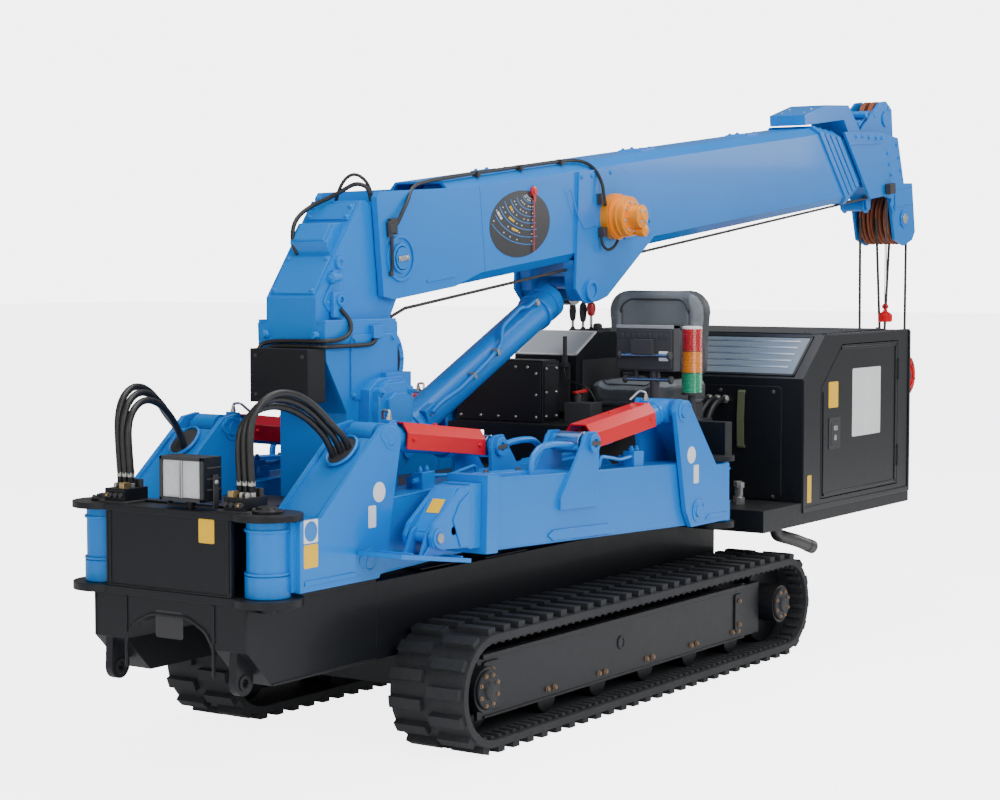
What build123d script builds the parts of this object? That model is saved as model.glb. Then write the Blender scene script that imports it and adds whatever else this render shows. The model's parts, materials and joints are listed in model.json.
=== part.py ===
from build123d import *
import math
import os

# A mini crawler crane with four outriggers, parked with its boom over the engine.
# Millimetres. While it is built, x = 0 is the slewing axis, +X points to the front plate,
# +Y to the machine's left, and z = 0 is the ground. The finished pieces are moved along X
# together, so that the middle of the whole machine is over the origin.

# Tracks and undercarriage
TRACK_OUTER = 670.0          # half width over the shoes
SHOE_WIDTH = 310.0
LOOP_RADIUS = 220.0          # to the lugs' tips
LUG_HEIGHT = 24.0
BELT_THICKNESS = 26.0
LUG_PITCH = 92.0             # the lugs stand in two staggered rows, one pitch apart in each
LUG_RUN = 40.0
LUG_WIDTH = 132.0
LUG_INSET = 9.0
LUG_SINK = 3.0
IDLER_X = 20.0
SPROCKET_X = -2237.0
WHEEL_GAP = 1.0              # wheels clear the belt's inside by this
PLATE_INSET = 83.0           # the frame's side plate lies this far inside the shoes
PLATE_BOTTOM = 105.0
PLATE_TOP = 338.0
PLATE_FRONT = 18.0
PLATE_REAR = -1985.0
PLATE_THICKNESS = 12.0
FRAME_DEPTH = 150.0
ROLLER_FIRST_X = -460.0
ROLLER_PITCH = 360.0
ROLLER_COUNT = 5
ROLLER_RADIUS = 62.0
HUB_RADIUS = 80.0

# Hull, deck and front frame
HULL_HALF = TRACK_OUTER - SHOE_WIDTH - 29.0
HULL_FRONT = 930.0
HULL_REAR = -2190.0
HULL_BOTTOM = 330.0
BELLY_BOTTOM = 190.0
LIP_BOTTOM = 600.0
LIP_THICKNESS = 25.0
TOP_PLATE_BOTTOM = 875.0
TOP_PLATE_THICKNESS = 20.0
FRONT_X = 940.0
FRONT_PLATE_HALF = 270.0
FRONT_BOX_HALF = 235.0
FRONT_BOX_REAR = 300.0
EYE_PLATE_RADIUS = 115.0     # rounded ends of the plates that hold the front outriggers
REAR_EYE_RADIUS = 92.0
LEG_INNER = HULL_HALF - 136.0
ARCH_TOP = 545.0
ARCH_SPRING = 450.0
LUG_X = 891.0
LUG_Y = HULL_HALF - 61.0
LUG_Z = 348.0
LUG_HOLE_RADIUS = 13.0
LUG_PLATE_RADIUS = 42.0
LUG_PLATE_THICKNESS = 30.0
LAMP_Y = 62.0
LAMP_HALF = 92.0
DECK_HALF = 240.0
DECK_FRONT = -330.0
DECK_REAR = -2000.0
DECK_TOP = 860.0
PLINTH_TOP = 1030.0
PLINTH_THICKNESS = 30.0
PLINTH_HALF = 420.0
DECK_JOIN = 255.0            # the front frame is welded to the hull here

# Engine bay
BAY_HALF = 660.0
BAY_REAR = -3539.0
BASE_FRONT = -2011.0
BASE_BOTTOM = 550.0
BASE_TOP = 600.0
COVER_FRONT = -2380.0
COVER_TOP = 1370.0
SHOULDER_Z = 1185.0
SHOULDER_RUN = 220.0
WALL = 30.0
DOOR_FRONT = -2560.0
DOOR_REAR = -3400.0
DOOR_BOTTOM = 644.0
DOOR_TOP = 1325.0
DOOR_GAP = 5.0
KNUCKLE_RADIUS = 8.0
KNUCKLE_LENGTH = 40.0
KNUCKLE_GAP = 1.0
HINGE_PIN_RADIUS = 4.0
HINGE_HEIGHTS = [760.0, 1170.0]
ENGINE_LENGTH = 720.0
ENGINE_HALF = 300.0
ENGINE_TOP = 1120.0
PIPE_RADIUS = 28.0

# Operator's place
SEAT_Y = 130.0
SEAT_HALF = 250.0
CUSHION_Y = 190.0
CUSHION_HALF = 190.0
SEAT_BACK_X = -2050.0
SEAT_BACK_THICKNESS = 110.0
SEAT_TOP = 1585.0
CUSHION_LENGTH = 375.0
CUSHION_BOTTOM = 1090.0
CUSHION_THICKNESS = 110.0
CABINET_FRONT = -1595.0
CABINET_REAR = -1990.0
CABINET_LOW = 1298.0
CABINET_HIGH = 1396.0
CABINET_SLOPE = 174.0        # run of the sloping panel, seen from the side
CABINET_INNER = -10.0
CABINET_OUTER = -320.0
BOX_FRONT = -1300.0
BOX_REAR = -1425.0
BOX_INNER = 10.0
BOX_OUTER = -420.0
BOX_TOP = 1285.0
PLINTH_FRONT = -1240.0
MONITOR_X = -1600.0
MONITOR_Y = 348.0
MONITOR_HALF = 135.0
MONITOR_BOTTOM = 1248.0
MONITOR_TOP = 1436.0
MONITOR_DEPTH = 52.0
BEACON_X = -1800.0
BEACON_Y = 430.0
BEACON_RADIUS = 44.0
BEACON_BOTTOM = 1138.0
BEACON_TOP = 1426.0

# Slewing upper part
RING_RADIUS = 230.0
TURNTABLE_TOP = 700.0
RING_GAP = 0.6
POST_HALF = 150.0
POST_REAR = -117.0
POST_FRONT = 180.0
WAIST_Z = 1165.0
BELLY_X = 300.0
BELLY_Z = 1350.0
NECK_Z = 1480.0
HEAD_HALF = 110.0
HEAD_FRONT_Z = 1568.0
HEAD_TOP_X = 44.0
HEAD_TOP_Z = 1909.0
DRUM_RADIUS = 128.0
DRUM_X = -48.0
DRUM_Z = 1340.0
GEAR_Z = 1175.0

# Boom, in its own line: s runs from the foot pin to the tip and w across it, upwards
BOOM_RISE = 6.5
FOOT_X = -150.0
FOOT_Z = 1706.0
FOOT_PIN_RADIUS = 40.0
FOOT_LUG_RADIUS = 110.0
BOOM_HALF = 140.0
BOOM_TOP = 250.0             # above the line through the foot pin
BOOM_BOTTOM = -145.0
BOOM_CHAMFER = 34.0
BOOM_WALL = 8.0
SECTION_STEP = 13.0          # each section is this much smaller on every side
FORK_PLATE = 25.0
FORK_FRONT = -115.0
BOX_START = 330.0
FORK_END = 520.0
BASE_END = 3520.0            # at the top edge; the end slants back towards the tip below
END_SLANT = 0.79
COLLAR_PITCH = 82.0
COLLAR_LENGTH = 40.0
SECTION_COUNT = 4
TAIL_PITCH = 45.0
HEAD_PLATE_HALF = 100.0
HEAD_PLATE = 15.0
SHEAVE_S = 4560.0
SHEAVE_W = -300.0
SHEAVE_RADIUS = 138.0
SHEAVE_WIDTH = 26.0
SHEAVE_PITCH = 46.0
TOP_SHEAVE_S = 4455.0
TOP_SHEAVE_W = 238.0
TOP_SHEAVE_RADIUS = 92.0
REEL_S = 1470.0
REEL_W = 8.0
REEL_RADIUS = 95.0
BRACKET_PLATE_Y = 12.0       # thickness of the lift bracket's side plates

# Lift cylinder
LIFT_X = -235.0
LIFT_Z = 1005.0
LIFT_TOP_X = -1440.0
LIFT_TOP_Z = 1575.0
LIFT_BARREL_RADIUS = 69.0
LIFT_BORE = 56.0
LIFT_ROD_RADIUS = 44.0
LIFT_BARREL_END = 1240.0
LIFT_ROD_START = 560.0
LIFT_PIN_RADIUS = 30.0
LIFT_EYE_HALF = 72.0
ROD_EYE_RADIUS = 60.0
ROD_EYE_HALF = 76.0
BRACKET_GAP_HALF = 82.0

# Hook block
BLOCK_Z = 1085.0
BLOCK_RADIUS = 105.0
BLOCK_HALF = 150.0
HOOK_Z = 790.0
HOOK_RING = 58.0
HOOK_WIRE = 19.0
ROPE_RADIUS = 7.0
ROPE_GAP = 1.3
FALL_SOCKET = 40.0           # the falls end this high above the block's middle, in sockets
FALL_SPREAD = 1.35           # the falls stand this much further apart at the block

# Outriggers: x along the folded arm from the swing axis, y across, z from the ground
TUBE_RADIUS = 68.0
KING_PIN_RADIUS = 30.0
TUBE_GAP = 2.0
BRACKET_HALF = 100.0
BRACKET_PLATE = 20.0
BRACKET_BOTTOM = 640.0
ARM_PIN_Z = 701.0
TOP_PIN_Z = 1105.0
TOP_PIN_AHEAD = 120.0        # the cylinder's pin lies this far beyond the arm's pin
ARM_RISE = 2.2
ARM_HALF = 74.0
ARM_BELOW = 58.0
ARM_ABOVE = 192.0
ARM_ROOT = 60.0
ARM_LENGTH = 1480.0
ARM_WALL = 8.0
ARM_PIN_RADIUS = 25.0
ARM_HOLLOW_START = 90.0      # the outer arm is solid round its pin up to here
INNER_GAP = 6.0
INNER_START = ARM_HOLLOW_START + 160.0
INNER_OUT = 70.0             # the inner arm stands out of the outer one by this
ARM_EYE_X = 800.0            # lug for the rod's eye, along the arm and above its pin
ARM_EYE_W = 295.0
CYL_RADIUS = 45.0
CYL_BORE = 34.0
CYL_ROD_RADIUS = 22.0
CYL_BARREL_END = 480.0
CYL_ROD_START = 90.0
CYL_EYE_RADIUS = 48.0
CYL_EYE_HALF = 50.0
GUARD_HALF = 60.0
GUARD_START = 150.0
GUARD_END = 625.0
FOOT_PIN_X = 250.0           # beyond the arm's end
FOOT_PIN_W = 5.0
PAD_LENGTH = 400.0
PAD_AHEAD = 45.0             # the pad's middle lies this far beyond its pin
PAD_HALF = 90.0
PAD_THICKNESS = 14.0
PAD_NOSE_UP = 6.0
PAD_DROP = 62.0
PIN_CLEARANCE = 0.05
RUNNER_GAP = 0.6             # between a sliding section and the mouth that guides it
MOUTH_LENGTH = 90.0

# name, swing axis x, swing axis y, arm's pin from the swing axis, direction of the folded arm
OUTRIGGERS = [
    ("front_left", 850.0, 350.0, 405.0, -1.0),
    ("front_right", 850.0, -350.0, 405.0, -1.0),
    ("rear_left", -1760.0, 550.0, 310.0, 1.0),
    ("rear_right", -1760.0, -550.0, 310.0, 1.0),
]

PIECES = {}
SLIVER = 1.0                 # joined solids reach this far into each other


def block(x0, x1, y0, y1, z0, z1):
    """A box between two corners."""
    size = (abs(x1 - x0), abs(y1 - y0), abs(z1 - z0))
    middle = ((x0 + x1) / 2, (y0 + y1) / 2, (z0 + z1) / 2)
    return Location(middle) * Box(*size)


def rod_y(x, z, radius, y0, y1):
    """A cylinder along Y."""
    turned = Location((x, (y0 + y1) / 2, z), (90, 0, 0))
    return turned * Cylinder(radius, abs(y1 - y0))


def rod_x(y, z, radius, x0, x1):
    """A cylinder along X."""
    turned = Location(((x0 + x1) / 2, y, z), (0, 90, 0))
    return turned * Cylinder(radius, abs(x1 - x0))


def rod_z(x, y, radius, z0, z1):
    """An upright cylinder."""
    return Location((x, y, (z0 + z1) / 2)) * Cylinder(radius, abs(z1 - z0))


def plate_xz(points, y0, y1, radii=None):
    """A plate with an outline in the upright plane along the machine, from y0 to y1."""
    outline = [(x, y0, z) for x, z in points]
    if radii is None:
        wire = Wire(Polyline(*outline, close=True))
    else:
        wire = Wire(FilletPolyline(*outline, radius=radii, close=True))
    return Solid.extrude(Face(wire), Vector(0, y1 - y0, 0))


def plate_xy(points, z0, z1):
    """A level plate with an outline seen from above."""
    outline = [(x, y, z0) for x, y in points]
    return Solid.extrude(Face(Wire(Polyline(*outline, close=True))), Vector(0, 0, z1 - z0))


def both_sides(solid):
    """A solid and its mirror image across the machine's middle plane."""
    return solid + solid.mirror(Plane.XZ)


def along_boom(solid):
    """Turn a solid built with s along -X and w along Z about the foot pin into the boom's line."""
    return Location((FOOT_X, 0, FOOT_Z), (0, BOOM_RISE, 0)) * solid


def boom_point(s, w):
    """Where a point of the boom's line lies in the machine."""
    rise = math.radians(BOOM_RISE)
    x = FOOT_X - s * math.cos(rise) + w * math.sin(rise)
    z = FOOT_Z + s * math.sin(rise) + w * math.cos(rise)
    return x, z


def loop_place(run):
    """Where the belt's outer face stands after a run from the lower front end, rearwards and round.

    Returns x, z and the turn about Y that lays a lug flat on the face.
    """
    straight = IDLER_X - SPROCKET_X
    radius = LOOP_RADIUS - LUG_HEIGHT
    half_turn = math.pi * radius
    if run < straight:
        return IDLER_X - run, LUG_HEIGHT, 180.0
    run -= straight
    if run < half_turn:
        turn = run / radius
        x = SPROCKET_X - radius * math.sin(turn)
        return x, LOOP_RADIUS - radius * math.cos(turn), 180.0 + math.degrees(turn)
    run -= half_turn
    if run < straight:
        return SPROCKET_X + run, 2 * LOOP_RADIUS - LUG_HEIGHT, 0.0
    turn = (run - straight) / radius
    x = IDLER_X + radius * math.sin(turn)
    return x, LOOP_RADIUS + radius * math.cos(turn), math.degrees(turn)


def track(side):
    """One endless rubber track as a fixed loop with its lugs in two staggered rows."""
    y0 = TRACK_OUTER - SHOE_WIDTH
    belt_radius = LOOP_RADIUS - LUG_HEIGHT

    def loop(radius):
        ends = rod_y(IDLER_X, LOOP_RADIUS, radius, y0, TRACK_OUTER)
        ends += rod_y(SPROCKET_X, LOOP_RADIUS, radius, y0, TRACK_OUTER)
        low = LOOP_RADIUS - radius
        high = LOOP_RADIUS + radius
        return ends + block(IDLER_X, SPROCKET_X, y0, TRACK_OUTER, low, high)

    belt = loop(belt_radius) - loop(belt_radius - BELT_THICKNESS)
    length = 2 * (IDLER_X - SPROCKET_X) + 2 * math.pi * belt_radius
    count = round(length / LUG_PITCH)
    lugs = []
    reach = LUG_INSET + LUG_WIDTH / 2
    for row, middle in enumerate((y0 + reach, TRACK_OUTER - reach)):
        for number in range(count):
            x, z, turn = loop_place((number + 0.5 * row) * length / count)
            lug = Location((0, 0, (LUG_HEIGHT - LUG_SINK) / 2)) * Box(LUG_RUN, LUG_WIDTH, LUG_HEIGHT + LUG_SINK)
            lugs.append(Location((x, middle, z), (0, turn, 0)) * lug)
    belt = belt.fuse(*lugs)
    return belt if side > 0 else belt.mirror(Plane.XZ)


def track_frame(side):
    """The long beam inside a track with its side plate, rollers, idler and sprocket."""
    outer = TRACK_OUTER - PLATE_INSET
    inner = outer - FRAME_DEPTH
    wheel = LOOP_RADIUS - LUG_HEIGHT - BELT_THICKNESS - WHEEL_GAP
    belt_top = LUG_HEIGHT + BELT_THICKNESS
    frame = block(PLATE_FRONT, PLATE_REAR, outer - PLATE_THICKNESS, outer, PLATE_BOTTOM, PLATE_TOP)
    beam_low = belt_top + ROLLER_RADIUS
    frame += block(IDLER_X - 150, SPROCKET_X + 120, inner, outer - SLIVER, beam_low, PLATE_TOP - 10)
    for number in range(ROLLER_COUNT):
        x = ROLLER_FIRST_X - number * ROLLER_PITCH
        frame += rod_y(x, belt_top + WHEEL_GAP + ROLLER_RADIUS, ROLLER_RADIUS, inner + 20, outer - 20)
    for x in (IDLER_X, SPROCKET_X):
        frame += rod_y(x, LOOP_RADIUS, wheel, inner + 30, outer - 40)
        frame += rod_y(x, LOOP_RADIUS, HUB_RADIUS, inner, outer + 45)
    return frame if side > 0 else frame.mirror(Plane.XZ)


def eye_plate(z0, thickness, x, y):
    """A rounded tab that holds a rear outrigger's king pin at x, y."""
    inner = DECK_HALF - SLIVER
    tab = rod_z(x, y, REAR_EYE_RADIUS, z0, z0 + thickness)
    reach = REAR_EYE_RADIUS * 0.98
    return tab + block(x - reach, x + reach, inner * math.copysign(1, y), y, z0, z0 + thickness)


def rear_top_eye(x, y):
    """The rear king pin's upper tab, hung from the plinth so that the front arm slides out below."""
    low = TOP_PLATE_BOTTOM
    tab = rod_z(x, y, REAR_EYE_RADIUS, low, low + TOP_PLATE_THICKNESS)
    near = y - REAR_EYE_RADIUS - 12
    web = block(x - 95, x - 35, near, y + 40, low + TOP_PLATE_THICKNESS - SLIVER, PLINTH_TOP)
    foot_strip = block(x - 95, x - 35, near, y - 20, low, low + TOP_PLATE_THICKNESS)
    bridge = block(x - 95, x - 35, PLINTH_HALF - SLIVER, y, PLINTH_TOP - PLINTH_THICKNESS, PLINTH_TOP)
    return tab + web + foot_strip + bridge


def king_pins(x, y):
    """The two pins on one axis line as one long pin, for both sides."""
    top = TOP_PLATE_BOTTOM + TOP_PLATE_THICKNESS
    return both_sides(rod_z(x, y, KING_PIN_RADIUS, LIP_BOTTOM, top))


def chassis():
    """Hull between the tracks, its cross members, the deck and the rear outriggers' tabs."""
    hull = block(HULL_REAR, 0, -HULL_HALF, HULL_HALF, BELLY_BOTTOM, BASE_BOTTOM)
    frame_inner = TRACK_OUTER - PLATE_INSET - FRAME_DEPTH
    beam_low = LUG_HEIGHT + BELT_THICKNESS + ROLLER_RADIUS + 20
    for x in (-430.0, -1750.0):
        reach = frame_inner
        hull += block(x - 110, x + 110, -reach, reach, beam_low, PLATE_TOP - 60)
    hull += block(-40, DECK_JOIN, -HULL_HALF, HULL_HALF, HULL_BOTTOM, LIP_BOTTOM)
    hull += block(DECK_REAR, -20, -HULL_HALF, HULL_HALF, BASE_BOTTOM - SLIVER, LIP_BOTTOM)
    hull += block(DECK_REAR, DECK_FRONT, -DECK_HALF, DECK_HALF, LIP_BOTTOM - SLIVER, DECK_TOP)
    top = PLINTH_TOP - PLINTH_THICKNESS
    hull += block(DECK_REAR, PLINTH_FRONT, -DECK_HALF, DECK_HALF, DECK_TOP - SLIVER, top + SLIVER)
    hull += block(DECK_REAR, PLINTH_FRONT, -PLINTH_HALF, PLINTH_HALF, top, PLINTH_TOP)
    for name, x, y, reach, heading in OUTRIGGERS:
        if name.startswith("rear"):
            hull += eye_plate(LIP_BOTTOM, LIP_THICKNESS, x, y)
    hull += both_sides(rear_top_eye(OUTRIGGERS[2][1], OUTRIGGERS[2][2]))
    hull += king_pins(OUTRIGGERS[2][1], OUTRIGGERS[2][2])
    hull += rod_z(0, 0, RING_RADIUS, LIP_BOTTOM - SLIVER, LIP_BOTTOM + 36)
    return hull


def front_frame():
    """Front hull with its arch and two legs, the lip and top plates, and the hitch lugs."""
    x_axis = OUTRIGGERS[0][1]
    y_axis = OUTRIGGERS[0][2]
    rear = DECK_JOIN
    side = [(rear, HULL_BOTTOM), (rear, LIP_BOTTOM), (HULL_FRONT, LIP_BOTTOM), (HULL_FRONT, 452),
            (HULL_FRONT - 120, HULL_BOTTOM)]
    hull = plate_xz(side, -HULL_HALF, HULL_HALF)
    springs = [(-LEG_INNER, HULL_BOTTOM - 20), (-LEG_INNER, ARCH_SPRING),
               (-LEG_INNER * 0.8, ARCH_SPRING + 58), (-LEG_INNER * 0.4, ARCH_TOP),
               (LEG_INNER * 0.4, ARCH_TOP), (LEG_INNER * 0.8, ARCH_SPRING + 58),
               (LEG_INNER, ARCH_SPRING), (LEG_INNER, HULL_BOTTOM - 20)]
    front = HULL_FRONT + 20
    mouth = Face(Wire(Polyline(*[(front, y, z) for y, z in springs], close=True)))
    hull -= Solid.extrude(mouth, Vector(rear + 25 - front, 0, 0))
    lip = plate_xy([(rear, -HULL_HALF), (rear, HULL_HALF), (735, 345), (FRONT_X - 20, 345),
                    (FRONT_X, 300), (FRONT_X, -300), (FRONT_X - 20, -345), (735, -345)],
                   LIP_BOTTOM - SLIVER, LIP_BOTTOM + LIP_THICKNESS)
    top_low = TOP_PLATE_BOTTOM
    top_high = TOP_PLATE_BOTTOM + TOP_PLATE_THICKNESS
    top = plate_xy([(560, -FRONT_BOX_HALF), (560, FRONT_BOX_HALF), (740, FRONT_BOX_HALF), (740, 345),
                    (FRONT_X - 20, 345), (FRONT_X, 300), (FRONT_X, -300), (FRONT_X - 20, -345),
                    (740, -345), (740, -FRONT_BOX_HALF)], top_low, top_high)
    box = block(FRONT_BOX_REAR, FRONT_X - 20, -FRONT_BOX_HALF, FRONT_BOX_HALF,
                LIP_BOTTOM + LIP_THICKNESS - SLIVER, TOP_PLATE_BOTTOM + SLIVER)
    face = block(FRONT_X - 20 - SLIVER, FRONT_X - 6, -FRONT_PLATE_HALF, FRONT_PLATE_HALF,
                 LIP_BOTTOM + LIP_THICKNESS - SLIVER, TOP_PLATE_BOTTOM + SLIVER)
    frame = hull + lip + top + box + face
    for low, thick in ((LIP_BOTTOM, LIP_THICKNESS), (TOP_PLATE_BOTTOM, TOP_PLATE_THICKNESS)):
        frame += both_sides(rod_z(x_axis, y_axis, EYE_PLATE_RADIUS, low, low + thick))
    frame += king_pins(x_axis, y_axis)
    half = LUG_PLATE_THICKNESS / 2
    lug = rod_y(LUG_X, LUG_Z, LUG_PLATE_RADIUS, LUG_Y - half, LUG_Y + half)
    lug += plate_xz([(LUG_X - 42, LUG_Z), (LUG_X - 42, 450), (LUG_X + 36, 480), (LUG_X + 42, LUG_Z)],
                    LUG_Y - half, LUG_Y + half)
    lug -= rod_y(LUG_X, LUG_Z, LUG_HOLE_RADIUS, LUG_Y - 40, LUG_Y + 40)
    return frame + both_sides(lug)


def valve_blocks():
    """The two hose manifolds on the front top plate, on one strip."""
    low = TOP_PLATE_BOTTOM + TOP_PLATE_THICKNESS
    one = block(795, 905, 215, 305, low, low + 48)
    for y in (238, 262, 286):
        one += rod_z(850, y, 11, low + 47, low + 110)
    return both_sides(one) + block(795, 830, -216, 216, low, low + 8)


def work_lamp():
    """The work lamp in the middle of the front top plate, with its foot."""
    low = TOP_PLATE_BOTTOM + TOP_PLATE_THICKNESS
    shell = block(FRONT_X - 95, FRONT_X - 10, LAMP_Y - LAMP_HALF, LAMP_Y + LAMP_HALF, low + 28, low + 172)
    return shell + rod_z(FRONT_X - 52, LAMP_Y, 16, low, low + 29)


def engine_base():
    """The plate under the engine bay, its skirt and the exhaust pipe."""
    base = block(BASE_FRONT, BAY_REAR, -BAY_HALF, BAY_HALF, BASE_BOTTOM, BASE_TOP)
    base += block(BASE_FRONT, COVER_FRONT + SLIVER, -BAY_HALF, BAY_HALF, BASE_TOP - SLIVER, DOOR_BOTTOM)
    path = FilletPolyline((-2330, 560, BASE_BOTTOM + 15), (-2330, 560, 505), (-2450, 600, 470),
                          (-2560, 628, 430), radius=[30, 70])
    pipe = sweep(Plane(path @ 0, z_dir=path % 0) * Circle(PIPE_RADIUS), path=path)
    return base + pipe


def hinge_x():
    """Where the engine door's hinge axis stands."""
    return DOOR_REAR + DOOR_GAP / 2


def engine_cover():
    """The hollow engine cover with its doorway and hinge pins on the left."""
    slope_x = COVER_FRONT - SHOULDER_RUN
    outline = [(COVER_FRONT, BASE_TOP), (COVER_FRONT, SHOULDER_Z), (slope_x, COVER_TOP),
               (BAY_REAR, COVER_TOP), (BAY_REAR, BASE_TOP)]
    shell = plate_xz(outline, -BAY_HALF, BAY_HALF)
    lean = WALL * 0.45
    room = [(COVER_FRONT - WALL, BASE_TOP - 5), (COVER_FRONT - WALL, SHOULDER_Z - lean),
            (slope_x - lean, COVER_TOP - WALL), (BAY_REAR + WALL, COVER_TOP - WALL),
            (BAY_REAR + WALL, BASE_TOP - 5)]
    shell -= plate_xz(room, -BAY_HALF + WALL, BAY_HALF - WALL)
    shell -= plate_xz(door_outline(0), BAY_HALF - WALL - 5, BAY_HALF + 5)
    for low in HINGE_HEIGHTS:
        high = low + KNUCKLE_LENGTH
        notch = KNUCKLE_RADIUS + 1.5
        shell -= rod_z(hinge_x(), BAY_HALF, notch, low - KNUCKLE_GAP, high + KNUCKLE_GAP)
        shell += rod_z(hinge_x(), BAY_HALF, KNUCKLE_RADIUS, low - 30, low - KNUCKLE_GAP)
        shell += rod_z(hinge_x(), BAY_HALF, KNUCKLE_RADIUS, high + KNUCKLE_GAP, high + 30)
        shell += rod_z(hinge_x(), BAY_HALF, HINGE_PIN_RADIUS, low - 30, high + 30)
    return shell


def door_outline(gap):
    """The door's shape, or its doorway's with no gap; the top front corner follows the slope."""
    front = DOOR_FRONT - gap
    rear = DOOR_REAR + gap
    corner = SHOULDER_Z - 45 - gap * 0.6
    run = (DOOR_TOP - SHOULDER_Z + 45) / (COVER_TOP - SHOULDER_Z) * SHOULDER_RUN
    return [(front, DOOR_BOTTOM + gap), (front, corner), (DOOR_FRONT - run - gap * 0.7, DOOR_TOP - gap),
            (rear, DOOR_TOP - gap), (rear, DOOR_BOTTOM + gap)]


def engine_door():
    """The side door of the engine cover, with its hinge knuckles at the rear edge."""
    door = plate_xz(door_outline(DOOR_GAP), BAY_HALF - WALL, BAY_HALF)
    for low in HINGE_HEIGHTS:
        high = low + KNUCKLE_LENGTH
        notch = KNUCKLE_RADIUS + 1.5
        door -= rod_z(hinge_x(), BAY_HALF, notch, low - 31, low)
        door -= rod_z(hinge_x(), BAY_HALF, notch, high, high + 31)
        door += rod_z(hinge_x(), BAY_HALF, KNUCKLE_RADIUS, low, high)
        door -= rod_z(hinge_x(), BAY_HALF, HINGE_PIN_RADIUS + PIN_CLEARANCE, low - 5, high + 5)
    return door


def engine_block():
    """The engine as one plain block on the base."""
    middle = (COVER_FRONT + BAY_REAR) / 2
    half = ENGINE_LENGTH / 2
    return block(middle - half, middle + half, -ENGINE_HALF, ENGINE_HALF, BASE_TOP, ENGINE_TOP)


def seat():
    """Pedestal, cushion and back of the operator's seat."""
    back_front = SEAT_BACK_X + SEAT_BACK_THICKNESS / 2
    back_rear = SEAT_BACK_X - SEAT_BACK_THICKNESS / 2
    front = back_front + CUSHION_LENGTH
    y0 = SEAT_Y - SEAT_HALF
    y1 = SEAT_Y + SEAT_HALF
    c0 = CUSHION_Y - CUSHION_HALF
    c1 = CUSHION_Y + CUSHION_HALF
    pedestal = block(back_rear + 40, front - 60, c0 + 40, c1 - 40, PLINTH_TOP, CUSHION_BOTTOM - 0.3)
    pedestal += block(back_rear - 12, back_rear - 0.3, y0 + 90, y1 - 90, PLINTH_TOP, SEAT_TOP - 160)
    pedestal += block(back_rear - 12, back_rear + 60, y0 + 90, y1 - 90, PLINTH_TOP, CUSHION_BOTTOM - 20)
    PIECES["seat_base"] = pedestal
    cushion = block(back_rear + 10, front, c0, c1, CUSHION_BOTTOM, CUSHION_BOTTOM + CUSHION_THICKNESS)
    PIECES["seat_cushion"] = fillet(cushion.edges(), 28)
    back = block(back_rear, back_front, y0, y1, CUSHION_BOTTOM + CUSHION_THICKNESS + 0.3, SEAT_TOP)
    PIECES["seat_back"] = fillet(back.edges(), 28)


def control_cabinet():
    """The sloping control cabinet beside the seat."""
    outline = [(CABINET_FRONT, PLINTH_TOP), (CABINET_FRONT, CABINET_LOW),
               (CABINET_FRONT - CABINET_SLOPE, CABINET_HIGH), (CABINET_REAR + 70, CABINET_HIGH - 4),
               (CABINET_REAR, CABINET_HIGH - 210), (CABINET_REAR, PLINTH_TOP)]
    return plate_xz(outline, CABINET_OUTER, CABINET_INNER)


def hydraulic_box():
    """The bolted cover over the hydraulics ahead of the cabinet."""
    return block(BOX_REAR, BOX_FRONT, BOX_OUTER, BOX_INNER, PLINTH_TOP, BOX_TOP)


def monitor():
    """The display on its stand ahead of the seat."""
    front = MONITOR_X + MONITOR_DEPTH
    stand_y = PLINTH_HALF - 28
    stand = block(MONITOR_X, front + 24, stand_y - 60, stand_y + 28, PLINTH_TOP, PLINTH_TOP + 14)
    stand += rod_z(MONITOR_X + 26, stand_y - 12, 20, PLINTH_TOP + 13, MONITOR_BOTTOM + SLIVER)
    return stand + block(MONITOR_X, front, MONITOR_Y - MONITOR_HALF, MONITOR_Y + MONITOR_HALF,
                         MONITOR_BOTTOM, MONITOR_TOP)


def beacon_stack():
    """The three-colour signal lamp on its pole and foot plate."""
    foot_plate = block(BEACON_X - 35, BEACON_X + 35, PLINTH_HALF - 30, BEACON_Y + 32,
                       PLINTH_TOP, PLINTH_TOP + 10)
    pole = rod_z(BEACON_X, BEACON_Y, 16, PLINTH_TOP + 9, BEACON_BOTTOM + 1)
    return foot_plate + pole + rod_z(BEACON_X, BEACON_Y, BEACON_RADIUS, BEACON_BOTTOM, BEACON_TOP)


def turntable():
    """The round table that slews on the ring, with the lift cylinder's ears."""
    low = LIP_BOTTOM + 36 + RING_GAP
    table = rod_z(0, 0, RING_RADIUS, low, TURNTABLE_TOP)
    return table


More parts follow.
